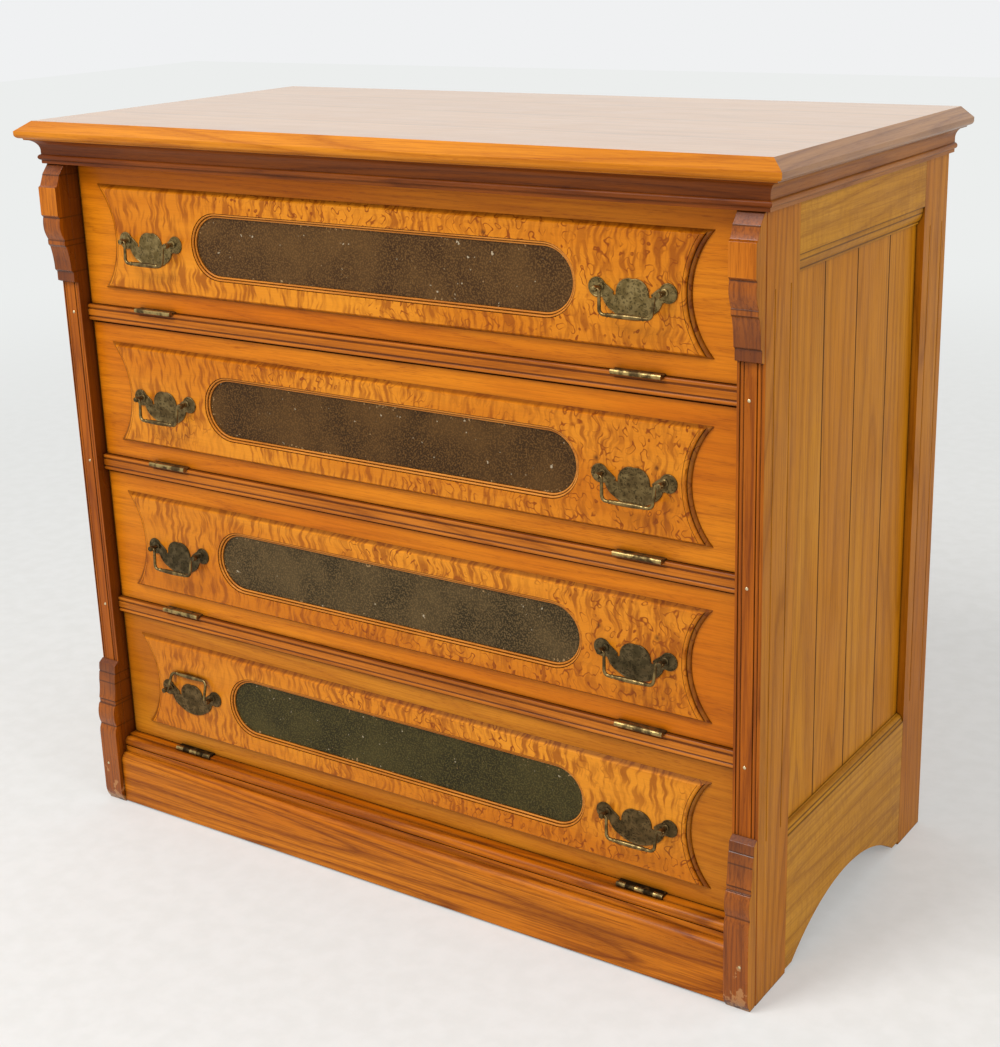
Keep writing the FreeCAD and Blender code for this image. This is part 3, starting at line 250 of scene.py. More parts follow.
def bars(tree, place, bent):
    """1 in the dark bars of the figure, which fade in and out in patches 9 cm long."""
    bar = add(tree, "ValToRGB", {0: spots(tree, bent, *BAR, detail=1.6)},
              stops=[(0.38, 1.0), (0.47, 0.45), (0.56, 0.0)])
    patch = add(tree, "ValToRGB", {0: spots(tree, place, *BAR_PATCH, detail=1.5)},
                stops=[(0.34, 0.3), (0.55, 1.0)])
    return add(tree, "Math", {0: bar, 1: patch}, operation="MULTIPLY")


print("bars are", BAR[0], "mm wide and fade out in patches of", BAR_PATCH, "mm")

# %% [markdown]
# Where the waves cross, the dark lines close into curls. They are thin contour lines of a rounder
# noise, broken into strokes, and there are more of them to the right, as on the real panels.

# %% The curls between the bars
CURL = (11.0, 14.0)
CURL_CROWD = (200.0, 111.0)
STROKE = (12.0, 16.0)
CONTOURS = 3.5
RIGHTWARD = 0.45


def curls(tree, place, bent):
    """1 on thin contour lines: where 3.5 times a noise comes near a whole number. A slow noise
    plus 0.45 times X thins them out to the left, and a quick one breaks them into strokes."""
    contour = add(tree, "Math", {0: spots(tree, bent, *CURL, detail=0.8), 1: CONTOURS},
                  operation="MULTIPLY")
    near = add(tree, "Math", {0: contour, 1: 0.5}, operation="PINGPONG")
    line = add(tree, "ValToRGB", {0: near}, stops=[(0.0, 1.0), (0.06, 0.8), (0.12, 0.0)])
    crowd = add(tree, "Math", {0: object_axis(tree, "X"), 1: RIGHTWARD,
                               2: spots(tree, place, *CURL_CROWD, detail=1.0)},
                operation="MULTIPLY_ADD")
    stroke = spots(tree, bent, *STROKE, detail=0.5)
    for share, stops in ((crowd, [(0.42, 0.0), (0.6, 1.0)]),
                         (stroke, [(0.38, 0.2), (0.56, 1.0)])):
        share = add(tree, "ValToRGB", {0: share}, stops=stops)
        line = add(tree, "Math", {0: line, 1: share}, operation="MULTIPLY")
    return line


print("curls follow spots of", CURL, "mm and break into strokes of", STROKE, "mm")

# %% [markdown]
# No bar of the real wood is straight. Both patterns are read at a place that a slower noise has
# moved along the grain, which bends them together.

# %% Bent figure
WAVE = (71.0, 26.0)
WAVE_REACH = 22.0


def figured(tree, place, colour, dark, bar_depth, curl_depth):
    """The colour with bars and curls in the dark tone. Both are bent: a noise moves a point by up
    to 22 mm along the grain."""
    bend = add(tree, "CombineXYZ", {0: spots(tree, place, *WAVE, detail=1.5)})
    bent = add(tree, "VectorMath", {0: bend, 1: (WAVE_REACH * MM, 0.0, 0.0), 2: place},
               operation="MULTIPLY_ADD")
    colour = lay(tree, colour, dark, bars(tree, place, bent), bar_depth)
    return lay(tree, colour, dark, curls(tree, place, bent), curl_depth)


print("the figure is bent by up to", WAVE_REACH, "mm")

# %% [markdown]
# A century leaves its marks on top of the wood. Wax and dust darken every corner and groove, and
# that darkening is painted shade as well, for the shade that falls there. It could be painted on
# by hand, but ambient occlusion finds the corners by itself. The depths of the mouldings, where
# more shade is painted, and the joints between boards lie at known places, so their masks are
# distances in the cabinet's own space. Each mask is 0 where the wood is clean.

# %% Masks of dirt and painted shade
def corner_grime(tree, reach):
    """1 deep in a corner or a groove and 0 on an open face. Painted shade and dirt gather
    within `reach` mm.
    """
    openness = add(tree, "AmbientOcclusion", {"Distance": reach * MM}, out="AO", samples=6)
    return add(tree, "ValToRGB", {0: openness}, stops=[(0.3, 1.0), (0.68, 0.35), (0.92, 0.0)])


def hollow_shade(tree, start, end):
    """0 at `start` mm behind the posts' faces and 1 at `end` mm, deep in a moulding, where shade is
    painted.
    """
    return add(tree, "MapRange", {
        "Value": object_axis(tree, "Y"), "From Min": (POST_FACE + start) * MM,
        "From Max": (POST_FACE + end) * MM}, interpolation_type="SMOOTHSTEP")


def dirt_and_shade_line(tree, joints, reach):
    """1 within `reach` mm of each given line. At a joint, the eased edges of two boards meet in a
    dark line of dirt, and in a moulding's quirk the line is painted shade.
    """
    line = 0.0
    for axis, joint in joints:
        near = add(tree, "Math", {0: object_axis(tree, axis), 1: joint * MM, 2: reach * MM},
                   operation="COMPARE")
        line = add(tree, "Math", {0: line, 1: near}, operation="MAXIMUM")
    return line


# The corners carry painted shade and dirt, the hollows painted shade, and the joints dirt.
print("dirt has three masks: corners, hollows and joints")

# %% [markdown]
# The knobs of each front have knocked dents into the front below, and brooms and boots have rubbed
# the feet pale. The dents are round and few, so each is a distance from its middle. The rubbing is
# ragged, so it is a noise that a height thins out.

# %% Masks of wear
RUB = 11.8
THINNING = 0.22


def knocks(tree, places):
    """1 in the middle of small dents and 0 at their rims: 1 less the distance over the radius, for
    each dent's (x, z, radius) in mm."""
    flat = add(tree, "VectorMath", {0: add(tree, "TexCoord", out="Object"), 1: (1.0, 0.0, 1.0)},
               operation="MULTIPLY")
    dent = 0.0
    for x, z, radius in places:
        away = add(tree, "VectorMath", {0: flat, 1: (x * MM, 0.0, z * MM)}, out="Value",
                   operation="DISTANCE")
        deep = add(tree, "Math", {0: away, 1: -1 / (radius * MM), 2: 1.0},
                   operation="MULTIPLY_ADD")
        dent = add(tree, "Math", {0: dent, 1: deep}, operation="MAXIMUM")
    return dent


def worn_low(tree, height):
    """1 in patches 12 mm across that thin out up to `height` mm above the floor: where a noise
    less 0.22 times Z over that height passes 0.44."""
    patches = spots(tree, add(tree, "TexCoord", out="Object"), RUB, RUB, detail=3.0)
    low = add(tree, "Math", {0: object_axis(tree, "Z"), 1: -THINNING / (height * MM), 2: patches},
              operation="MULTIPLY_ADD")
    return add(tree, "ValToRGB", {0: low}, stops=[(0.44, 0.0), (0.5, 1.0)])


print("the feet are rubbed in patches", RUB, "mm wide")

# %% [markdown]
# Each mark has its own tone. The painted shade in corners and grooves, which stands for their
# grime too, is a brown near black, a dent shows the dark of crushed wood, rubbed wood is pale
# because its shellac is gone, and the painted shade deep in a moulding's hollow is a red brown. A
# mark is laid over the wood like a glaze, so the grain still shows through it. A painted line of
# shade in a quirk and a line of dirt at a joint are each given by a tone, half a width in mm, and
# a depth.

# %% The marks of age, and painted shade, laid over a wood
# Painted shade in corners and grooves, with their dirt: a brown near black.
SHADE_AND_GRIME = "#1e0d04"
CRUSHED_WOOD, CRUSHED = "#3a1604", 0.85
BARE_WOOD, BARED = "#c08a54", 0.6
# Painted shade deep in a moulding's hollow: a red brown.
HOLLOW_SHADE_TONE = "#4a1c04"
# A painted line of shade in each quirk of a moulding.
QUIRK_SHADE, QUIRK_REACH, QUIRK_DEPTH = "#3a1a04", 1.0, 0.65
JOINT_DIRT, JOINT_REACH, JOINT_DEPTH = "#3a1c06", 1.4, 0.85


def aged_and_shaded(tree, colour, joints, grime=0.85, reach=9.0, dents=(), worn=None, hollow=None,
         quirks=(), lined=False):
    """The colour with painted shade and grime in its corners and, where they are asked for, dents,
    rubbed feet, painted shade in a hollow given as (start, end, amount), painted lines of shade in
    a moulding's quirks, and dark lines of dirt at joints."""
    colour = lay(tree, colour, SHADE_AND_GRIME, corner_grime(tree, reach), grime)
    if dents:
        colour = lay(tree, colour, CRUSHED_WOOD, knocks(tree, dents), CRUSHED)
    if worn:
        colour = lay(tree, colour, BARE_WOOD, worn_low(tree, worn), BARED)
    if hollow:
        start, end, amount = hollow
        colour = lay(tree, colour, HOLLOW_SHADE_TONE, hollow_shade(tree, start, end), amount)
    if quirks:
        colour = lay(tree, colour, QUIRK_SHADE, dirt_and_shade_line(tree, quirks, QUIRK_REACH), QUIRK_DEPTH)
    if lined:
        colour = lay(tree, colour, JOINT_DIRT, dirt_and_shade_line(tree, joints, JOINT_REACH), JOINT_DEPTH)
    return colour


print("the joints' lines of dirt are", 2 * JOINT_REACH, "mm wide")

# %% [markdown]
# Shellac is a thin clear film over the wood. A low coat and a low specular level stand for it,
# because old shellac is dull, and hands have rubbed it duller in places, so its roughness wanders.
# Thick wax that has bloomed lights up at a low angle, as velvet does, and sheen gives that. One
# function makes every wood, because they differ only in tones, in depths, in wear and in painted
# shade.

# %% One kind of wood
RUBBED = (71.0, 45.0)
WANDER = 0.22
BUMP = 0.3
PORE_RELIEF = 0.4
FILM_ROUGHNESS = 0.22
BLOOM_ROUGHNESS = 0.3
BLOOM_TINT = "#ffe6cc"


def wood(name, tones, along, shift, joints=(), depths=(0.5, 0.35, 0.5), figure=None,
         roughness=0.42, coat=0.05, gloss=0.15, haze=0.0, **age_and_shade):
    """A wood whose grain runs `along` an axis, with dark, middle and light tones. `depths` are
    those of its rings, fibres and pores, and `figure` those of its bars and curls. Its roughness
    is `roughness` plus 0.22 times a noise, less half of that."""
    material, tree = new_material(name)
    place = grain_coordinates(tree, along, joints, shift)
    colour, height = grain(tree, place, tones, *depths)
    if figure:
        colour = figured(tree, place, colour, tones[0], *figure)
    rubbed = spots(tree, place, *RUBBED, detail=3.0)
    shader = add(tree, "BsdfPrincipled", {
        "Base Color": aged_and_shaded(tree, colour, joints, **age_and_shade),
        "Roughness": add(tree, "Math", {0: rubbed, 1: WANDER, 2: roughness - WANDER / 2},
                         operation="MULTIPLY_ADD"),
        "Normal": add(tree, "Bump", {
            "Strength": BUMP, "Distance": PORE_RELIEF * MM, "Height": height}),
        "Specular IOR Level": gloss, "Coat Weight": coat, "Coat Roughness": FILM_ROUGHNESS,
        "Sheen Weight": haze, "Sheen Roughness": BLOOM_ROUGHNESS, "Sheen Tint": BLOOM_TINT})
    add(tree, "OutputMaterial", {"Surface": shader}, out=None)
    return material


print("the gloss changes over patches", RUBBED, "mm in size")

# %% [markdown]
# The flat of the top carries a thick old wax that has bloomed, so it looks pale at a low angle.
# Its four boards run from side to side. The front edge is bright orange, and its ends, where the
# grain is cut across, are a dull brown. One wood with a painted mask could show all three, but
# three woods are simpler, because their borders lie on the board's own edges.

# %% Woods of the top
TOP_JOINTS = [("Y", -128.0), ("Y", 24.0), ("Y", 155.0)]

# Glued oak boards under thick wax: a pale sheen over quiet brown grain.
top_oak = wood("glued_oak_top", ("#8a5428", "#b57c44", "#c28a52"), "X", 2.0, joints=TOP_JOINTS,
               coat=1.0, gloss=0.5, roughness=0.34, haze=0.7, lined=True)
# Shellacked long grain on the moulded edge: the brightest orange line of the cabinet.
nose_oak = wood("oak_moulded_edge", ("#984a00", "#c6740c", "#d8861c"), "X", 3.0)
# End grain drinks the stain and dulls: a browner, greyer edge with some shine left.
end_oak = wood("oak_moulded_ends", ("#6a3c14", "#93602f", "#a67542"), "Y", 3.5, coat=0.5)
print("made 3 woods for the top, with joints at", [joint for axis, joint in TOP_JOINTS], "mm")

# %% [markdown]
# The cornice under the top was stained nearly to walnut, so that it frames the fronts. The rail
# behind it has a curly figure that shows through the stain, and its tones are darker still as
# painted shade where the cornice shadows it. Stain changes the tones of a wood and not its grain,
# so these are the same oak again in darker tones.

# %% Woods of the cornice
# Dark stained oak: red brown mouldings with painted shade, near black, in their hollows.
cornice_oak = wood("dark_oak_cornice", ("#4a1c00", "#7c3804", "#904a0c"), "X", 4.0, reach=5.0)
# The same stain over curly wood, darkened further as painted shade under the cornice: dark bars
# that stand upright on the flat rail.
frieze_oak = wood("dark_curly_frieze", ("#4a1e02", "#7c400e", "#94541e"), "X", 4.2, reach=5.0,
                  figure=(0.7, 0.0))
# The side's cornice has faded to a lighter brown.
cornice_side_oak = wood("dark_oak_side_cornice", ("#6a3408", "#9a5c1c", "#aa6c2a"), "Y", 4.5)
print("made 3 woods for the cornice")

# %% [markdown]
# The posts and corbels were stained darker than the rest. A long reach of the painted shade in
# corners makes the hollows of the carving darker still, and the parts of a corbel that lie back
# near the post are painted in shade too. The small inner corners of such a carving, its quirks,
# get a painted line of shade each, at the heights that are listed here. The flat block of each
# upper corbel has stayed as golden as the fronts.

# %% Woods of the posts and corbels
UPPER_QUIRKS = (917.5, 862.0, 831.0, 824.0, 788.0)
LOWER_QUIRKS = (201.0, 187.0, 159.5, 154.0, 121.5)
CORBEL_QUIRKS = [("Z", height) for height in UPPER_QUIRKS + LOWER_QUIRKS]

# Dark stained oak, reeded: red brown strips between thin grooves, black with painted shade and
# dirt.
post_oak = wood("dark_oak_posts", ("#6a2c00", "#a25000", "#b4600a"), "Z", 5.0,
                depths=(0.5, 0.55, 0.5), reach=3.0, grime=1.0)
# Carved and dark stained: soft brown steps with painted deep shade under each and on the parts
# that lie back, and rubbed feet.
corbel_oak = wood("dark_oak_corbels", ("#4e1d00", "#904600", "#a85a0c"), "Z", 6.0,
                  depths=(0.25, 0.5, 0.5), gloss=0.3, coat=0.06, roughness=0.28, reach=18.0,
                  worn=60.0, quirks=CORBEL_QUIRKS, hollow=(-17.0, -6.0, 0.6))
# Planed and hardly stained: one golden patch on the dark carving.
block_oak = wood("golden_corbel_block", ("#843e00", "#ba6208", "#ca7416"), "Z", 6.5,
                 depths=(0.2, 0.6, 0.5))
print("made 3 woods for the posts and corbels")

# %% [markdown]
# The sides of the case are a browner gold with little gloss. Their four boards are tongued
# together, and each joint is a small V groove. Dirt has filled it, so the material draws a dark
# line at the joint's place. The rails' mouldings step down to the boards, and a painted line of
# shade marks each of their quirks.

# %% Woods of the sides
SIDE_JOINTS = [("Y", joint + POST_FACE) for joint in (171.0, 262.0, 357.0)]
RAIL_QUIRKS = [("Z", height) for height in (873.0, 866.0, 855.0, 190.0, 185.0)]

# Plain sawn oak, upright: long flames in a dull gold, with painted shade and dirt in its grooves.
stile_oak = wood("oak_stiles", ("#7a4000", "#ae660e", "#bc7818"), "Z", 7.0, coat=0.02, gloss=0.08,
                 grime=1.0, reach=3.0)
# Level oak rails with a faint figure: a paler band over and under the boards, with painted shade
# in their quirks.
side_rail_oak = wood("oak_side_rails", ("#8c5408", "#ba7e18", "#c68c28"), "Y", 8.0,
                     joints=[("Z", 500.0)], figure=(0.25, 0.15), coat=0.02, gloss=0.08, reach=5.0,
                     quirks=RAIL_QUIRKS)
# Tongued oak boards: quieter grain, and a dark line at each joint.
side_board_oak = wood("oak_side_boards", ("#8a4e00", "#bc760c", "#c6841a"), "Z", 9.0,
                      joints=SIDE_JOINTS, coat=0.02, gloss=0.08, lined=True)
print("made 3 woods for the sides, with joints at", [joint for axis, joint in SIDE_JOINTS], "mm")

# %% [markdown]
# The back was never polished and the inside was left bare, so both are rougher and show no coat.
# The nine boards of the back meet in dark lines, as the side's boards do. They are equally wide,
# so their joints can be counted off.

# %% Woods of the back and the inside
BACK_BOARDS = 9
BACK_HALF = 503.0
BACK_JOINTS = [("X", (step / BACK_BOARDS * 2 - 1) * BACK_HALF) for step in range(1, BACK_BOARDS)]

# Unpolished oak boards: the side's gold without its shine.
back_board_oak = wood("oak_back_boards", ("#8a4e00", "#bc760c", "#c6841a"), "Z", 20.0,
                      joints=BACK_JOINTS, coat=0.0, roughness=0.6, lined=True)
# Bare oak: pale, dry and a little grey.
inside_oak = wood("bare_oak_inside", ("#7a5226", "#a97e45", "#b88e55"), "X", 40.0, coat=0.0,
                  roughness=0.65)
print("made 2 woods for the back and the inside")

# %% [markdown]
# The fronts are the most orange part of the cabinet, and the lowest one is a little browner. Each
# raised panel is cut from figured wood with hardly any straight grain in it. Each front has its
# own shift, because no two boards of a tree look alike. Dents show on three of the panels: those
# of the second and the third lie where the knobs of the front above land.

# %% Woods of the fronts
FRONT_TONES = {number: ("#8e4000", "#c96a00", "#dc8210") for number in FRONTS}
FRONT_TONES[4] = ("#843e00", "#bc6a08", "#cc801a")
# Each dent is (x, z, radius) in mm.
PANEL_DENTS = {1: [(167, 884, 4.5)], 2: [(312, 638, 4.5), (390, 637, 4.0)],
               3: [(312, 434, 4.0), (390, 434, 5.0)], 4: []}

# Shellacked long grain: a clear orange with quiet streaks.
front_oak = {number: wood(f"oak_front_{number}", FRONT_TONES[number], "X", 50.0 + 1.7 * number,
                          depths=(0.3, 0.25, 0.5)) for number in FRONTS}
# Figured wood: bars and curls on orange, smoother than the rest, with painted shade deep in its
# outer groove.
figured_wood = {number: wood(f"figured_panel_{number}", ("#883e00", "#c87006", "#e28f20"), "X",
                             80.0 + 2.3 * number, depths=(0.06, 0.08, 0.1), figure=(0.7, 1.0),
                             roughness=0.34, hollow=(12.0, 15.5, 0.6), dents=PANEL_DENTS[number])
                for number in FRONTS}
# Straight-grained strips: two bright rounds against the dark glass.
reed_wood = wood("reeds_round_signs", ("#8c4604", "#c8761a", "#e09038"), "X", 95.0,
                 depths=(0.2, 0.35, 0.5))
print("made", len(front_oak) + len(figured_wood) + 1, "woods for the fronts")

# %% [markdown]
# The three rails between the fronts are cut from three boards, so the joints here are heights
# between them. Their grooves get painted shade, one hollow shade for all of them, since they are
# equally deep. The base is coarser oak with bold rings.

# %% Woods of the rails and the base
# Reeded oak rails: thin orange lines with red brown painted shade between them.
rail_oak = wood("oak_front_rails", ("#7a3800", "#ba660c", "#cc7820"), "X", 60.0, reach=3.0,
                joints=[("Z", 250.0), ("Z", 460.0), ("Z", 680.0)], hollow=(12.8, 13.8, 0.7))
# Plain sawn oak near the floor: a deeper orange with wide dark flames.
base_oak = wood("oak_base", ("#6e2e00", "#bc6200", "#d07a14"), "X", 70.0, depths=(0.7, 0.5, 0.6),
                reach=5.0)
print("made 2 woods for the rails and the base")

# %% [markdown]
# ## Brass
# The hinges and pulls are cast and stamped brass. The hinges were rubbed bright by every opening,
# while the pulls have kept the brown skin that brass grows in a century of hands. Brass is a
# metal, so its colour goes into the reflection. The tarnish is a mix of two colours and
# roughnesses by noise at the scale of a fingertip, about a centimetre. The plates are also stamped
# all over with a shallow scroll whose lines have gone dark: contour lines of a noise, a few
# millimetres apart. Its lines and the pits of the casting are finer than a dot of the render, so
# both are drawn about a millimetre wide.

# %% Brass
FINGERTIP = 10.5
PIT = 1.1
PIT_RELIEF = 0.3
SCROLL = 5.0
SCROLL_LINES = 3.0
SCROLL_DIRT = "#1e180e"
SCROLL_DEPTH = 1.5
CRUST = 0.25


def scroll(tree, place):
    """1 on the lines of the stamped scroll: where 3 times a noise comes near a whole number."""
    turns = add(tree, "Math", {0: spots(tree, place, SCROLL, SCROLL, detail=1.0), 1: SCROLL_LINES},
                operation="MULTIPLY")
    near = add(tree, "Math", {0: turns, 1: 0.5}, operation="PINGPONG")
    return add(tree, "ValToRGB", {0: near}, stops=[(0.04, 1.0), (0.2, 0.0)])


def brass(name, bright, tarnish, share, roughness, stamped=0.0):
    """Brass with tarnish over a `share` of it, from 0 to 1, and a stamped scroll as dark as
    `stamped`. Tarnish adds 0.25 to the roughness."""
    material, tree = new_material(name)
    place = add(tree, "TexCoord", out="Object")
    skin = add(tree, "ValToRGB", {0: spots(tree, place, FINGERTIP, FINGERTIP, detail=5.0)},
               stops=[(0.62 - 0.5 * share, 0.0), (0.86 - 0.5 * share, 1.0)])
    colour = lay(tree, bright, tarnish, skin)
    height = spots(tree, place, PIT, PIT)
    if stamped:
        line = scroll(tree, place)
        colour = lay(tree, colour, SCROLL_DIRT, line, stamped)
        height = add(tree, "Math", {0: line, 1: -SCROLL_DEPTH, 2: height},
                     operation="MULTIPLY_ADD")
    shader = add(tree, "BsdfPrincipled", {
        "Base Color": colour,
        "Roughness": add(tree, "Math", {0: skin, 1: CRUST, 2: roughness},
                         operation="MULTIPLY_ADD"),
        "Normal": add(tree, "Bump", {
            "Strength": BUMP, "Distance": PIT_RELIEF * MM, "Height": height}),
        "Metallic": 1.0})
    add(tree, "OutputMaterial", {"Surface": shader}, out=None)
    return material


# Cast brass rubbed by use: a dull gold barrel with bright spots.
hinge_brass = brass("rubbed_brass_hinges", "#ac935c", "#54432a", 0.5, 0.34)
# The lowest hinges have gone nearly black in the damp of the floor.
dark_brass = brass("blackened_brass_hinges", "#6e5a34", "#2e2214", 0.7, 0.42)
# Stamped sheet brass under old lacquer: olive brown, and darker on the two lower rows.
PLATE_BROWNS = {1: ("#968052", "#77643c"), 2: ("#836e46", "#675434"),
                3: ("#66563a", "#50442c"), 4: ("#725c3a", "#59482c")}
pull_brass = {number: brass(f"aged_brass_plates_{number}", *browns, 0.5, 0.42, stamped=0.6)
              for number, browns in PLATE_BROWNS.items()}
# Drawn brass wire that fingers keep smooth: a thin bright line along each bail.
bail_brass = brass("aged_brass_bails", "#8a7448", "#54442a", 0.5, 0.28)
# Nail heads scraped by a century of dusting: small pale dots.
nail_metal = brass("rubbed_nail_heads", "#d8c8a0", "#a08a5c", 0.3, 0.35)
print("made", 4 + len(pull_brass), "kinds of brass")

# %% [markdown]
# ## Back-painted glass
# Each sign plate is glass that was painted on its back and is left bare here. The paint is nearly
# black with a bronze cast, speckled where it has let go of the glass, and pale flakes show along
# its edge. Glass is smooth and reflects at its face, which a coat over the paint's colour gives.
# A plate is a bar with round ends, so a point's distance from its edge is that from its middle
# line, taken from half its height.

# %% Sizes of a sign plate, and how near a point is to its edge
SIGN_HALF_LENGTH = 289.0
SIGN_HALF_HEIGHT = 43.5
SIGN_LINE = SIGN_HALF_LENGTH - SIGN_HALF_HEIGHT
SIGN_MIDDLE = 94.5
FLAKED_FROM = 14.0
FLAKED_TO = 4.0


def edge_nearness(tree, middle):
    """0 more than 14 mm inside a sign plate's edge and 1 less than 4 mm. The distance from the
    middle line is the length of two things: how far |x| is past the line's end, and how far z is
    from the height `middle`."""
    sideways = add(tree, "Math", {0: object_axis(tree, "X")}, operation="ABSOLUTE")
    past = add(tree, "Math", {0: sideways, 1: SIGN_LINE * MM}, operation="SUBTRACT")
    along = add(tree, "Math", {0: past, 1: 0.0}, operation="MAXIMUM")
    across = add(tree, "Math", {0: object_axis(tree, "Z"), 1: middle * MM}, operation="SUBTRACT")
    from_line = add(tree, "CombineXYZ", {0: along, 1: across})
    away = add(tree, "VectorMath", {0: from_line}, out="Value", operation="LENGTH")
    return add(tree, "MapRange", {
        "Value": away, "From Min": (SIGN_HALF_HEIGHT - FLAKED_FROM) * MM,
        "From Max": (SIGN_HALF_HEIGHT - FLAKED_TO) * MM})


print("a sign plate is", 2 * SIGN_HALF_LENGTH, "by", 2 * SIGN_HALF_HEIGHT, "mm")

# %% [markdown]
# The paint has three ages in it: clouds a hand wide where it was laid on thin, specks where it has
# let go, and a few chips and flakes where it is gone. The real specks are half a millimetre
# across, which is finer than a dot of the render, so they are drawn 2.2 mm wide.

# %% Back-painted glass
CLOUD = 71.0
SPECK = 2.2
CHIP = 7.7
CHIP_TONE = "#b9a98c"
FLAKE = 4.2
FLAKE_TONE = "#a8875a"


def painted_glass(name, paint, speck, shift, middle):
    """Dark paint with lighter clouds, specks and chips. Flakes come where a noise plus 0.2 times
    the edge's nearness passes 0.7, more of them under a pale cloud."""
    material, tree = new_material(name)
    moved = add(tree, "Mapping", {"Vector": add(tree, "TexCoord", out="Object"),
                                  "Location": (shift, 0.0, shift * 0.7)})
    clouds = spots(tree, moved, CLOUD, CLOUD, detail=6.0)
    ragged = add(tree, "Math", {
        0: edge_nearness(tree, middle),
        1: add(tree, "ValToRGB", {0: clouds}, stops=[(0.45, 0.2), (0.62, 1.0)])},
        operation="MULTIPLY")
    flaky = spots(tree, moved, FLAKE, FLAKE, detail=4.0)
    flakes = add(tree, "Math", {0: ragged, 1: 0.2, 2: flaky}, operation="MULTIPLY_ADD")
    specks = spots(tree, moved, SPECK, SPECK, detail=3.0)
    chips = spots(tree, moved, CHIP, CHIP, detail=3.0)
    colour = paint
    for share, stops, tone, amount in (
            (clouds, [(0.35, 0.0), (0.7, 1.0)], speck, 0.5),
            (specks, [(0.47, 0.0), (0.6, 1.0)], speck, 0.85),
            (chips, [(0.72, 0.0), (0.735, 1.0)], CHIP_TONE, 0.8),
            (flakes, [(0.7, 0.0), (0.74, 1.0)], FLAKE_TONE, 0.85)):
        colour = lay(tree, colour, tone, add(tree, "ValToRGB", {0: share}, stops=stops), amount)
    shader = add(tree, "BsdfPrincipled", {
        "Base Color": colour, "Roughness": 0.5, "Specular IOR Level": 0.08, "Coat Weight": 0.1,
        "Coat Roughness": 0.15})
    add(tree, "OutputMaterial", {"Surface": shader}, out=None)
    return material


# Old glass over bronze black paint: a dark, faintly sparkling bar on each panel.
SIGN_PAINTS = {1: ("#3a240e", "#6c4c26"), 2: ("#36220a", "#664620"),
               3: ("#2e2410", "#6a5432"), 4: ("#28230d", "#524822")}
sign_glass = {number: painted_glass(f"painted_glass_{number}", *paints, 3.0 * number,
                                    HINGE_LINE[number] + SIGN_MIDDLE)
              for number, paints in SIGN_PAINTS.items()}
print("made", len(sign_glass), "painted glasses")

# %% [markdown]
# ## Pieces
# Every piece that this script makes rides on one of the frame's bodies, so that it moves with its
# front or its bail, and it stands in for the nodes that it replaces. Its mesh is written in the
# cabinet's own space, so the object itself stays at the origin.

# %% A piece that rides on a body
def show(name, mesh, body, *nodes, slot):
    """Links a finished mesh to the scene as a piece that rides on a body and replaces nodes."""
    thing = bpy.data.objects.new(name, mesh)
    bpy.context.scene.collection.objects.link(thing)
    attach(thing, body)
    if nodes:
        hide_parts(*nodes)
    return thing


# %% [markdown]
# ## Woodwork
# A joiner's plane and a century of hands leave no edge sharp, and a thin line of light runs along
# each of them. The frame's solids have sharp edges, so each wooden node is shown by a copy of its
# mesh. The copy's loose triangles are merged, its flat faces are made whole again, and a Bevel
# modifier rounds its edges by a few tenths of a millimetre. A copy with its own faces can also
# carry more than one finish, as the top board does on its flat and its moulded edge.

# %% A copy of a node with its edges eased
SLOT_OF = {part["node"]: part["material_slot"] for part in frame["record"]["subparts"]}
# Corners closer than this, in metres, are one, and faces within this many degrees are one flat.
SAME_CORNER = 2e-6
SAME_FLAT = 0.5
# An edge is shaded soft below the first angle and rounded above the second, in degrees.
SOFT_ANGLE = 28
BEVEL_ANGLE = 32


def whole_faces(node, choose):
    """A node's mesh with its triangles joined into flat faces. `choose` gives a face's material
    number from its centre and its normal."""
    mesh = bpy.data.meshes.new(f"{node}_eased")
    copy = bmesh.new()
    copy.from_mesh(NODES[node].data)
    bmesh.ops.remove_doubles(copy, verts=copy.verts, dist=SAME_CORNER)
    bmesh.ops.dissolve_limit(copy, angle_limit=math.radians(SAME_FLAT), verts=copy.verts,
                             edges=copy.edges, use_dissolve_boundaries=False)
    for edge in copy.edges:
        edge.smooth = edge.calc_face_angle(0.0) < math.radians(SOFT_ANGLE)
    for face in copy.faces:
        face.smooth = True
        face.material_index = choose(face.calc_center_median(), face.normal) if choose else 0
    copy.to_mesh(mesh)
    copy.free()
    return mesh


def eased(node, materials, width, choose):
    """A copy of a node with its edges rounded by `width` mm."""
    mesh = whole_faces(node, choose)
    for material in materials:
        mesh.materials.append(material)
    thing = show(f"{node}_eased", mesh, BODY_OF[node], node, slot=SLOT_OF[node])
    bevel = thing.modifiers.new("eased_edges", "BEVEL")
    bevel.width = width * MM
    bevel.segments = 2
    bevel.limit_method = "ANGLE"
    bevel.angle_limit = math.radians(BEVEL_ANGLE)
    bevel.harden_normals = True


print("an edge is rounded where its faces turn by more than", BEVEL_ANGLE, "degrees")

# %% [markdown]
# Five kinds of node carry more than one finish. Which one a face gets follows from where it is and
# which way it looks, so nothing has to be painted on by hand.

# %% Which finish a face gets
BLOCK_FOOT = 863.0
BLOCK_TOP = 904.0
POST_OUTER = 520.0
FLAT = 0.95


def top_finish(centre, normal):
    """0 for the flat of the top board, 1 for its front edge and 2 for its ends."""
    if normal.z > FLAT or normal.y > 0.5:
        return 0
    return 1 if abs(normal.y) > abs(normal.x) else 2


def front_finish(centre, normal):
    """0 for the polished face and edges of a front, 1 for its unpolished back."""
    return 1 if normal.y > FLAT else 0


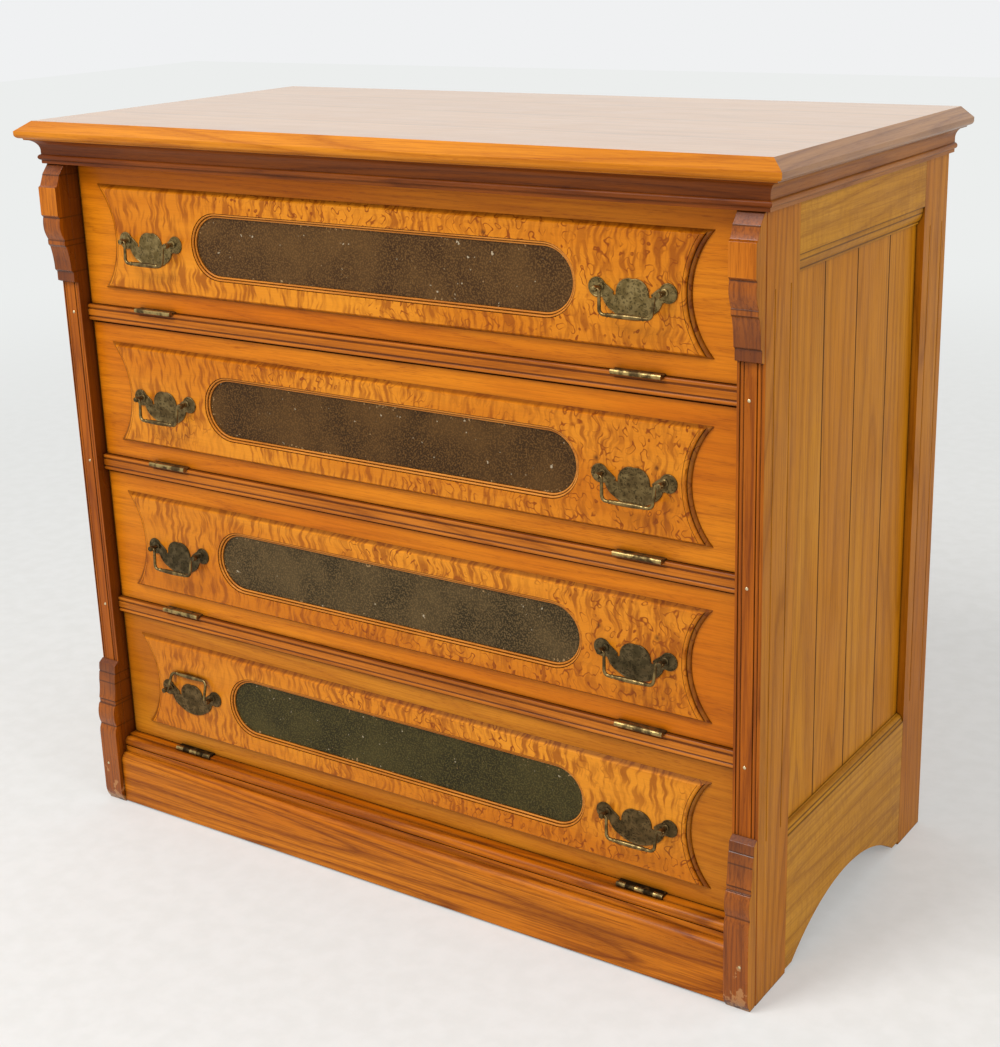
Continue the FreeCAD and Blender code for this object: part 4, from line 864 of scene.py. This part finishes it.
def post_finish(centre, normal):
    """0 for the front of a corner post, 1 for its outer side, which matches the stiles, and 2 for
    its inner side, which is painted dark as the shade that falls on it."""
    if abs(normal.x) < FLAT:
        return 0
    return 1 if normal.x * centre.x > 0 and abs(centre.x) > POST_OUTER * MM else 2


def corbel_finish(centre, normal):
    """0 for a corbel's carved face, 1 for its outer side, which lies flush with the post's, and 2
    for the flat block of an upper corbel."""
    if normal.x * centre.x > 0 and abs(normal.x) > FLAT:
        return 1
    return 2 if normal.y < -FLAT and BLOCK_FOOT * MM < centre.z < BLOCK_TOP * MM else 0


FINISH_OF = {"top_board": top_finish}
for number in FRONTS:
    FINISH_OF[f"front_board_{number}"] = front_finish
for name in SIDES:
    FINISH_OF[f"corner_post_{name}"] = post_finish
    FINISH_OF[f"upper_corbel_{name}"] = corbel_finish
    FINISH_OF[f"lower_corbel_{name}"] = corbel_finish
print(len(FINISH_OF), "nodes carry more than one finish")

# %% [markdown]
# The list gives each wooden node its woods, and how many millimetres its edges were rounded: more
# on the top and the corners, where hands pass, and less on thin mouldings.

# %% Woods and rounding of every wooden node
WOODWORK = {
    "top_board": ([top_oak, nose_oak, end_oak], 1.2),
    "cornice_front": ([cornice_oak], 0.6),
    "cornice_sides": ([cornice_side_oak], 0.6),
    "top_front_rail": ([frieze_oak], 0.5),
    "back_boards": ([back_board_oak], 0.4),
    "bottom_board": ([inside_oak], 0.4),
    "front_stops": ([inside_oak], 0.4),
    "base_moulding": ([base_oak], 0.6),
    "base_board": ([base_oak], 0.8),
}
for name in SIDES:
    # A post's inner side takes the dark corbel wood, as painted shade.
    WOODWORK[f"corner_post_{name}"] = ([post_oak, stile_oak, corbel_oak], 0.6)
    WOODWORK[f"upper_corbel_{name}"] = ([corbel_oak, stile_oak, block_oak], 0.7)
    WOODWORK[f"lower_corbel_{name}"] = ([corbel_oak, stile_oak], 0.9)
    WOODWORK[f"front_stile_{name}"] = ([stile_oak], 0.8)
    WOODWORK[f"back_stile_{name}"] = ([stile_oak], 1.0)
    WOODWORK[f"side_top_rail_{name}"] = ([side_rail_oak], 0.5)
    WOODWORK[f"side_bottom_rail_{name}"] = ([side_rail_oak], 0.6)
    WOODWORK[f"side_panel_boards_{name}"] = ([side_board_oak], 0.3)
for number in FRONTS:
    WOODWORK[f"front_board_{number}"] = ([front_oak[number], inside_oak], 0.7)
    WOODWORK[f"raised_panel_{number}"] = ([figured_wood[number]], 0.4)
    if number != FRONTS[-1]:
        WOODWORK[f"front_rail_{number}"] = ([rail_oak], 0.4)
        WOODWORK[f"shelf_{number}"] = ([inside_oak], 0.4)
for node, (woods, width) in WOODWORK.items():
    eased(node, woods, width, FINISH_OF.get(node))
print("eased the edges of", len(WOODWORK), "wooden nodes")

# %% [markdown]
# The glass of the sign plates and the brass of the hinges keep the frame's own meshes, because
# their shapes are right as they are. Only their material slots are filled.

# %% Finish the nodes that stay
STAYING = {"rail_hinges": hinge_brass}
for number in FRONTS:
    STAYING[f"front_hinges_{number}"] = dark_brass if number == FRONTS[-1] else hinge_brass
    STAYING[f"sign_plate_{number}"] = sign_glass[number]
for node, material in STAYING.items():
    NODES[node].data.materials.clear()
    NODES[node].data.materials.append(material)
print("finished", len(STAYING), "nodes that keep their own meshes")

# %% [markdown]
# ## Surfaces in two parameters
# The brass and the fine mouldings are surfaces that are worked out as whole arrays. They could be
# modelled by hand, but a formula can be checked against a drawing. One helper takes a grid of
# points, with one parameter along its rows and the other along its columns, and joins neighbours
# into faces. Either direction can close on itself, as a ring does.

# %% Faces of a grid
def grid_faces(rows, columns, close_rows, close_columns):
    """The corner numbers of each quad of a rows x columns grid of points."""
    across = np.arange(columns if close_columns else columns - 1)
    down = np.arange(rows if close_rows else rows - 1)
    i, j = np.meshgrid(down, across, indexing="ij")
    next_i, next_j = (i + 1) % rows, (j + 1) % columns
    quads = np.stack([i * columns + j, i * columns + next_j, next_i * columns + next_j,
                      next_i * columns + j], axis=-1)
    return quads.reshape(-1, 4)


print("a closed 3 by 4 grid has", len(grid_faces(3, 4, True, True)), "faces")

# %% [markdown]
# A mesh can hold several grids, such as a plate and its two posts. Where a grid closes on itself
# or runs to a point, its doubled corners are merged, and then all faces are turned outwards.

# %% A mesh of several grids
# Points closer than this, in metres, are one, and an edge is soft below this angle, in degrees.
SAME_POINT = 1e-6
CREASE = 38


def surface(name, patches, material):
    """A mesh of several grids, each (points of shape rows x columns x 3 in metres, close_rows,
    close_columns, capped). A capped grid gets a face over its first and its last row. Doubled
    points are merged, the faces are turned outwards, and faces of more than four corners are cut
    into triangles."""
    corners, quads, caps, start = [], [], [], 0
    for points, close_rows, close_columns, capped in patches:
        rows, columns = points.shape[:2]
        corners.append(points.reshape(-1, 3))
        quads.append(grid_faces(rows, columns, close_rows, close_columns) + start)
        if capped:
            ring = np.arange(columns)
            caps += [(start + ring[::-1]).tolist(), (start + (rows - 1) * columns + ring).tolist()]
        start += rows * columns
    mesh = bpy.data.meshes.new(name)
    mesh.from_pydata(np.concatenate(corners).tolist(), [], np.concatenate(quads).tolist() + caps)
    tidy = bmesh.new()
    tidy.from_mesh(mesh)
    bmesh.ops.remove_doubles(tidy, verts=tidy.verts, dist=SAME_POINT)
    bmesh.ops.recalc_face_normals(tidy, faces=tidy.faces)
    for edge in tidy.edges:
        edge.smooth = edge.calc_face_angle(0.0) < math.radians(CREASE)
    for face in tidy.faces:
        face.smooth = len(face.verts) <= 4
    bmesh.ops.triangulate(tidy, faces=[face for face in tidy.faces if len(face.verts) > 4])
    tidy.to_mesh(mesh)
    tidy.free()
    mesh.materials.append(material)
    return mesh


print("an edge of such a mesh is soft below", CREASE, "degrees")

# %% [markdown]
# ## Bail pulls
# Each pull is a stamped back plate with a rolled rim, two turned posts, and a bail that was drawn
# as wire and swells in its grip. The die of such a plate was cut with round tools, so its outline
# is a run of arcs, each through three points.

# %% An arc through three points
def arc(start, through, end, count):
    """Points from start to end on the circle through all three: centre + r * (cos a, sin a)."""
    a, b, c = (np.array(p, float) for p in (start, through, end))
    chords = np.array([b - a, c - a]) * 2
    centre = np.linalg.solve(chords, np.array([b @ b - a @ a, c @ c - a @ a]))
    angles = [math.atan2(*(p - centre)[::-1]) for p in (a, b, c)]
    turn = (angles[2] - angles[0]) % math.tau
    if (angles[1] - angles[0]) % math.tau > turn:
        turn -= math.tau
    steps = angles[0] + turn * np.linspace(0, 1, count + 1)[1:]
    return centre + np.hypot(*(a - centre)) * np.stack([np.cos(steps), np.sin(steps)], axis=1)


print("an arc over the top has", len(arc((1, 0), (0, 1), (-1, 0), 4)), "points after its start")

# %% [markdown]
# A rim and a moulding follow their outline all round. Each ring of such a surface is the outline
# moved inwards along its own normals, and the rings' depths make the profile.

# %% Rings of an outline
def inset(outline, distance):
    """A closed outline moved to its left by `distance` along the mean normal of its two edges."""
    ahead = np.roll(outline, -1, axis=0) - outline
    ahead /= np.linalg.norm(ahead, axis=1, keepdims=True)
    behind = np.roll(ahead, 1, axis=0)
    tangent = ahead + behind
    tangent /= np.linalg.norm(tangent, axis=1, keepdims=True)
    normal = np.stack([-tangent[:, 1], tangent[:, 0]], axis=1)
    widen = 1 / np.clip((tangent * ahead).sum(axis=1), 0.5, 1)
    return outline + normal * (distance * widen)[:, None]


def ring_surface(outline, profile, depth_of):
    """Rings of the outline: row k is the outline inset by profile[k][0] at depth profile[k][1]."""
    rows = []
    for offset, height in profile:
        ring = inset(outline, offset)
        depth = np.full(len(ring), depth_of(height))
        rows.append(np.stack([ring[:, 0], depth, ring[:, 1]], axis=1))
    return np.array(rows) * MM


square = np.array([(0.0, 0.0), (4.0, 0.0), (4.0, 4.0), (0.0, 4.0)])
print("a square of 4 inset by 1 is", np.ptp(inset(square, 1.0), axis=0), "wide and high")

# %% [markdown]
# The plate is symmetric, so only its right half is drawn, as seven arcs from the dome down to the
# lowest point, each through three points that were read off as shares of the plate's height and
# width. The left half is its mirror.

# %% The plate's outline, in mm from the middle between its posts
PLATE_TOP = 12.0
PLATE_LOW = 33.5
PLATE_HALF = 55.5
# Each arc's start, middle and end, as shares, and how many points it gets: the dome, the notch
# beside it, the rise to the ear, the ear round the post, the nick under it, and the long low
# curve in two parts.
PLATE_ARCS = [
    ((0, 0.96), (0.27, 0.66), (0.37, -0.14), 14),
    ((0.37, -0.14), (0.395, -0.24), (0.42, -0.12), 4),
    ((0.42, -0.12), (0.53, 0.10), (0.62, 0.38), 6),
    ((0.62, 0.38), (0.998, 0.04), (0.72, -0.32), 20),
    ((0.72, -0.32), (0.695, -0.335), (0.67, -0.34), 3),
    ((0.67, -0.34), (0.615, -0.54), (0.45, -0.77), 8),
    ((0.45, -0.77), (0.24, -0.94), (0, -1), 10),
]


def on_plate(x, z):
    """A point in mm: x times half the width, and z times the reach above or below the middle."""
    return x * PLATE_HALF, z * (PLATE_TOP if z > 0 else PLATE_LOW)


def plate_outline():
    """The stamped plate, anticlockwise: the arcs of its right half, and their mirror in x = 0."""
    right = np.concatenate([arc(*(on_plate(*point) for point in points), count)
                            for *points, count in PLATE_ARCS])
    left = right[:-1][::-1] * (-1, 1)
    top = on_plate(*PLATE_ARCS[0][0])
    return np.concatenate([right, left, [top]])[::-1]


print("the plate's outline has", len(plate_outline()), "points and is", 2 * PLATE_HALF, "mm wide")

# %% [markdown]
# A post is turned on a lathe: a profile of radius and depth goes round the axis. Its head stands
# proud of the plate and its ball end is what the bail's pin turns in.

# %% Turned pieces
POST_SIDES = 24


def turned(profile, centre, count=POST_SIDES):
    """A turned piece on an axis that points to the front: for each (radius, depth) of the profile,
    the ring centre + (r cos a, depth, r sin a)."""
    angles = np.linspace(0, math.tau, count, endpoint=False)
    rows = [np.stack([centre[0] + radius * np.cos(angles),
                      np.full(count, centre[1] + depth + POST_FACE),
                      centre[2] + radius * np.sin(angles)], axis=1) for radius, depth in profile]
    return np.array(rows) * MM


print("a turned post has", POST_SIDES, "points round it")

# %% [markdown]
# The plate lies on the panel's face. Its rings give (inset, height) in millimetres: a thin edge,
# a rim rolled over to 1.4 mm, and the flat at 0.85 mm. The post's turning gives (radius, depth).

# %% Plates and posts
PANEL_FACE = 11.5
PULL_HALF_BORE = 40.0
PLATE_RINGS = [(0, 0), (0, 0.9), (0.2, 1.25), (0.55, 1.4), (1.0, 1.3), (1.35, 1.0), (1.7, 0.85)]
POST_TURNING = [(0.1, 10.1), (4.5, 10.1), (4.5, 9.2), (3.9, 8.7), (3.0, 8.5), (2.7, 7.0),
                (2.7, 4.2), (2.9, 2.0), (3.4, 1.5), (3.6, 1.2), (3.6, -4.0), (3.3, -4.8),
                (2.4, -5.3), (0.1, -5.5)]


def make_plate(number, name):
    """The back plate and the two posts of one pull, as one piece."""
    x = SIDES[name] * PULL_CENTRE
    z = HINGE_LINE[number] + PULL_RISE
    outline = plate_outline() + (x, z)
    rings = ring_surface(outline, PLATE_RINGS, lambda height: PANEL_FACE - height + POST_FACE)
    posts = [turned(POST_TURNING, (x + side * PULL_HALF_BORE, 0, z)) for side in (-1, 1)]
    patches = [(patch, False, True, True) for patch in [rings] + posts]
    return surface(f"plate_{number}_{name}", patches, pull_brass[number])


for number in FRONTS:
    plates = [make_plate(number, name) for name in SIDES]
    show(f"pull_plate_left_{number}", plates[0], f"front_{number}", f"pull_plates_{number}",
         slot="pull_brass")
    show(f"pull_plate_right_{number}", plates[1], f"front_{number}", slot="pull_brass")
print("made", 2 * len(FRONTS), "back plates, each with two posts")

# %% [markdown]
# A bail is a tube around a path: two pins that turn in the posts, two arms, two bends and the
# grip. At each point of the path the tube's ring stands square to the path. The radius changes
# along it: thin pins, tapered arms, and a grip that swells between two small rings. A bevelled
# curve could make a tube too, but its radius would have to be set point by point.

# %% A tube along a path
TUBE_SIDES = 14


def tube(path, radii):
    """Rings around a path in the plane y = 0: p(t) + r(t) * (n(t) cos a + (0, 1, 0) sin a), where
    n(t) is the path's normal in that plane."""
    tangent = np.gradient(path, axis=0)
    tangent /= np.linalg.norm(tangent, axis=1, keepdims=True)
    normal = np.stack([-tangent[:, 2], np.zeros(len(path)), tangent[:, 0]], axis=1)
    angles = np.linspace(0, math.tau, TUBE_SIDES, endpoint=False)
    ring = (normal[:, None] * np.cos(angles)[None, :, None]
            + np.array([0, 1, 0]) * np.sin(angles)[None, :, None])
    return path[:, None] + radii[:, None, None] * ring


print("each ring of a tube has", TUBE_SIDES, "points")

# %% [markdown]
# Only half of a bail's path is written, from its pin to the middle of its grip, and the other
# half is its mirror. The pin dips a little before the arm, the arm goes straight down, a quarter
# round of 6.6 mm turns it, and the grip runs level.

# %% The path and the thickness of a bail, in mm
PIN_END = 44.3
PIN_START = 36.5
PIN_DIP = 1.9
ARM_TOP = 34.3
ARM_FOOT = 33.0
DEEP = 20.6
BEND = 6.6
PIN_RADIUS = 1.5
ARM_RADIUS = 1.75
ARM_TAPER = 0.3
WIRE = 2.05
SWELL = 1.0
SWELL_HALF = 21.0
RING = 0.75
RING_PLACE = 22.3
RING_WIDTH = 0.9


def bail_path():
    """Half the bail's path and the radii there. The dip is a parabola. The grip's swell is 1 less
    the square of the distance from its middle over 21 mm, to the power 0.7, and a ring is a bell
    curve."""
    pin = np.linspace((PIN_END, 0), (PIN_START, 0), 6)
    corner = np.stack([np.linspace(PIN_START, ARM_TOP, 7)[1:],
                       -PIN_DIP * np.linspace(0, 1, 7)[1:] ** 2], axis=1)
    arm = np.linspace((ARM_TOP, -PIN_DIP), (ARM_FOOT, -DEEP), 12)[1:]
    angles = np.linspace(0, math.pi / 2, 10)[1:]
    turn = np.stack([ARM_FOOT - BEND * (1 - np.cos(angles)),
                     -DEEP - BEND * np.sin(angles)], axis=1)
    grip = np.linspace((ARM_FOOT - BEND, -DEEP - BEND), (0, -DEEP - BEND), 34)[1:]
    half = np.concatenate([pin, corner, arm, turn, grip])
    x, drop = half[:, 0], -half[:, 1]
    swell = WIRE + SWELL * np.clip(1 - (x / SWELL_HALF) ** 2, 0, 1) ** 0.7
    rings = RING * np.exp(-((x - RING_PLACE) / RING_WIDTH) ** 2) * (drop > 25)
    tapered = np.where(drop > 0.5, ARM_RADIUS + ARM_TAPER * np.clip(drop / 20, 0, 1), PIN_RADIUS)
    return half, np.where(drop > DEEP, np.where(x < SWELL_HALF, swell, WIRE) + rings, tapered)


print("half a bail's path drops", round(DEEP + BEND, 1), "mm in", len(bail_path()[0]), "points")

# %% [markdown]
# The half path and its mirror make one bail, which is then turned about the axis of its pins.
# Seven bails lean back on their plates, and the lowest left one was left swung up. That turn goes
# into the mesh, because a body's place at rest is what the joint counts from.

# %% Bails
HANGING = 7.4
SWUNG_UP = 200.0
PIN_DEPTH = 1.5


def make_bail(number, name):
    """A bail at rest: its tube turned about its pins' axis by 7.4 degrees, where it hangs on the
    plate, or by 200 degrees for the one that is swung up."""
    half, radius = bail_path()
    flat = np.concatenate([half, half[:-1][::-1] * (-1, 1)])
    radii = np.concatenate([radius, radius[:-1][::-1]])
    path = np.stack([flat[:, 0], np.zeros(len(flat)), flat[:, 1]], axis=1)
    points = tube(path, radii)
    lean = math.radians(SWUNG_UP if (number, name) == (4, "left") else HANGING)
    y = points[..., 1] * math.cos(lean) + points[..., 2] * math.sin(lean)
    z = points[..., 2] * math.cos(lean) - points[..., 1] * math.sin(lean)
    pivot = (SIDES[name] * PULL_CENTRE, POST_FACE - PIN_DEPTH, HINGE_LINE[number] + PULL_RISE)
    placed = (np.stack([points[..., 0], y, z], axis=-1) + pivot) * MM
    return surface(f"bail_{number}_{name}", [(placed, False, True, True)], bail_brass)


for number in FRONTS:
    for name in SIDES:
        node = f"bail_{number}_{name}"
        show(f"bail_wire_{number}_{name}", make_bail(number, name), node, node, slot="pull_brass")
print("made", 2 * len(FRONTS), "bail pulls")

# %% [markdown]
# ## Reeds round the sign plates
# Two half-round reeds run round each opening, one a step below the other. They are rings of the
# opening's outline again, with a half-round profile.

# %% Sign reeds
END_POINTS = 36
REED_POINTS = 9
# Each reed's (inset, width, depth of its foot, depth of its crown) in mm.
SIGN_REEDS = ((0.05, 2.9, 2.25, 0.8), (3.05, 2.9, 4.45, 3.1))


def stadium(half_length, half_height):
    """A long outline with half-round ends, walked anticlockwise: the end's middle plus half the
    height times (cos a, sin a), and the same turned round for the other end."""
    angles = np.linspace(-math.pi / 2, math.pi / 2, END_POINTS)
    end = np.stack([np.cos(angles), np.sin(angles)], axis=1) * half_height
    straight = half_length - half_height
    return np.concatenate([end + (straight, 0), -end + (-straight, 0)])


def reed_profile(start, width, foot, crown):
    """(inset, depth) along half a round: start + width / 2 * (1 - cos a) and foot + (crown - foot)
    * sin a."""
    return [(start + width / 2 * (1 - math.cos(angle)), foot + (crown - foot) * math.sin(angle))
            for angle in np.linspace(0, math.pi, REED_POINTS)]


for number in FRONTS:
    outline = stadium(SIGN_HALF_LENGTH, SIGN_HALF_HEIGHT) + (0, HINGE_LINE[number] + SIGN_MIDDLE)
    rings = [ring_surface(outline, reed_profile(*reed),
                          lambda depth: PANEL_FACE + depth + POST_FACE) for reed in SIGN_REEDS]
    patches = [(ring, True, True, False) for ring in rings]
    mesh = surface(f"sign_reeds_{number}", patches, reed_wood)
    show(f"sign_reeds_{number}", mesh, f"front_{number}", slot="figured_wood")
print("made", len(SIGN_REEDS) * len(FRONTS), "reeds")

# %% [markdown]
# ## Nails
# The posts are nailed on, and the round heads of the nails show as small pale dots on them. A
# head is a low dome, turned as the pulls' posts are, and sits 0.75 mm proud of the wood. Three are
# in each post, and one is in the front of each lower corbel.

# %% Nail heads
NAIL_TURNING = [(0.05, 0.2), (1.9, 0.2), (1.9, -0.15), (1.5, -0.5), (0.9, -0.7), (0.05, -0.75)]
NAIL_SIDES = 14
POST_NAILS = [(507.5, 0.0, height) for height in (731.0, 520.0, 305.0)]
CORBEL_NAIL = (514.0, -19.9, 60.0)

nail_places = [(side * x, y, z) for side in (-1, 1) for x, y, z in POST_NAILS]
nail_places += [(side * CORBEL_NAIL[0], *CORBEL_NAIL[1:]) for side in (-1, 1)]
heads = [(turned(NAIL_TURNING, place, NAIL_SIDES), False, True, True) for place in nail_places]
show("nail_heads", surface("nail_heads", heads, nail_metal), "case", slot="hinge_brass")
print("made", len(nail_places), "nail heads")

# %% [markdown]
# ## Floor
# The floor is pale paint, a little uneven. Where it is seen it should melt into the pale room, so
# for the camera, metal and glass it glows more and more with distance, while the cabinet's light
# and shadow fall on the paint near its feet.

# %% Floor
FLOOR_HALF = 12.0
MOTTLE = 33.0


def seen_directly(tree):
    """1 for a ray from the camera, off metal or gloss, or through glass, and 0 for other light."""
    seen = 0.0
    for ray in ("Is Camera Ray", "Is Glossy Ray", "Is Transmission Ray"):
        seen = add(tree, "Math", {0: seen, 1: add(tree, "LightPath", out=ray)},
                   operation="MAXIMUM")
    return seen


floor_paint, tree = new_material("pale_floor")
ground = add(tree, "TexCoord", out="Object")
tone = add(tree, "ValToRGB", {0: spots(tree, ground, MOTTLE, MOTTLE, detail=4.0)},
           stops=[(0.3, "#e2e1dd"), (0.7, "#e8e7e4")])
paint = add(tree, "BsdfPrincipled", {
    "Base Color": tone, "Roughness": 0.9, "Specular IOR Level": 0.1})
away = add(tree, "VectorMath", {0: ground}, out="Value", operation="LENGTH")
far = add(tree, "ValToRGB", {0: add(tree, "Math", {0: away, 1: 0.1}, operation="MULTIPLY")},
          stops=[(0.08, 0.3), (0.45, 1.0)])
seen = add(tree, "Math", {0: seen_directly(tree), 1: far}, operation="MULTIPLY")
glow = add(tree, "Emission", {"Color": "#eceeed", "Strength": 1.0})
add(tree, "OutputMaterial", {
    "Surface": add(tree, "MixShader", {0: seen, 1: paint, 2: glow})}, out=None)
mesh = bpy.data.meshes.new("floor")
mesh.from_pydata([(-FLOOR_HALF, -FLOOR_HALF, 0), (FLOOR_HALF, -FLOOR_HALF, 0),
                  (FLOOR_HALF, FLOOR_HALF, 0), (-FLOOR_HALF, FLOOR_HALF, 0)], [], [(0, 1, 2, 3)])
mesh.materials.append(floor_paint)
floor = bpy.data.objects.new("floor", mesh)
bpy.context.scene.collection.objects.link(floor)
print("laid a floor", 2 * FLOOR_HALF, "m wide")

# %% [markdown]
# ## Light
# The world lights the cabinet evenly, and the camera, glass and metal see a pale backdrop in it. A
# large soft lamp above the left of the camera gives the shapes their shade, and a weaker one
# lights the side.

# %% World and lamps
world = bpy.data.worlds.new("pale_room")
bpy.context.scene.world = world
world.use_nodes = True
tree = world.node_tree
tree.nodes.clear()
glow = add(tree, "Background", {"Color": "#ffffff", "Strength": 0.62})
backdrop = add(tree, "Background", {"Color": "#f0f1f2", "Strength": 1.0})
add(tree, "OutputWorld", {
    "Surface": add(tree, "MixShader", {0: seen_directly(tree), 1: glow, 2: backdrop})}, out=None)


def lamp(name, place, target, size, watts):
    """A square soft lamp that faces its target."""
    light = bpy.data.lights.new(name, "AREA")
    light.size = size
    light.energy = watts
    thing = bpy.data.objects.new(name, light)
    thing.location = place
    thing.rotation_euler = (Vector(target) - Vector(place)).to_track_quat("-Z", "Y").to_euler()
    bpy.context.scene.collection.objects.link(thing)


lamp("key", (-1.0, -2.6, 3.8), (0, 0, 0.5), 1.6, 122)
lamp("side", (3.6, -0.6, 2.2), (0.5, 0, 0.5), 2.0, 34)
print("lit by two lamps and a pale room")

# %% [markdown]
# ## Camera
# The camera stands where the photograph was taken from. Its place, its three directions and its
# lens were solved from the cabinet's straight edges, and a small shift sets the cabinet in the
# frame as it is there.

# %% Camera at the photograph's viewing angle
camera = bpy.data.cameras.new("photo_camera")
camera.sensor_fit = "AUTO"
camera.sensor_width = 36.0
camera.lens = 59.838
camera.shift_x = -0.01564
camera.shift_y = -0.03658
camera.clip_end = 100.0
viewer = bpy.data.objects.new("photo_camera", camera)
right = Vector((0.8331041, 0.5524012, -0.0281161))
up = -Vector((0.1451667, -0.2674177, -0.952583))
back = -Vector((-0.5337267, 0.7895193, -0.3029771))
turn = Matrix((right, up, back)).transposed().to_4x4()
viewer.matrix_world = Matrix.Translation((1.2909, -1.84225, 1.2065)) @ turn
bpy.context.scene.collection.objects.link(viewer)
bpy.context.scene.camera = viewer
bpy.context.scene.view_settings.view_transform = "Standard"
print("the camera stands", round(viewer.matrix_world.translation.length, 2), "m from the cabinet")
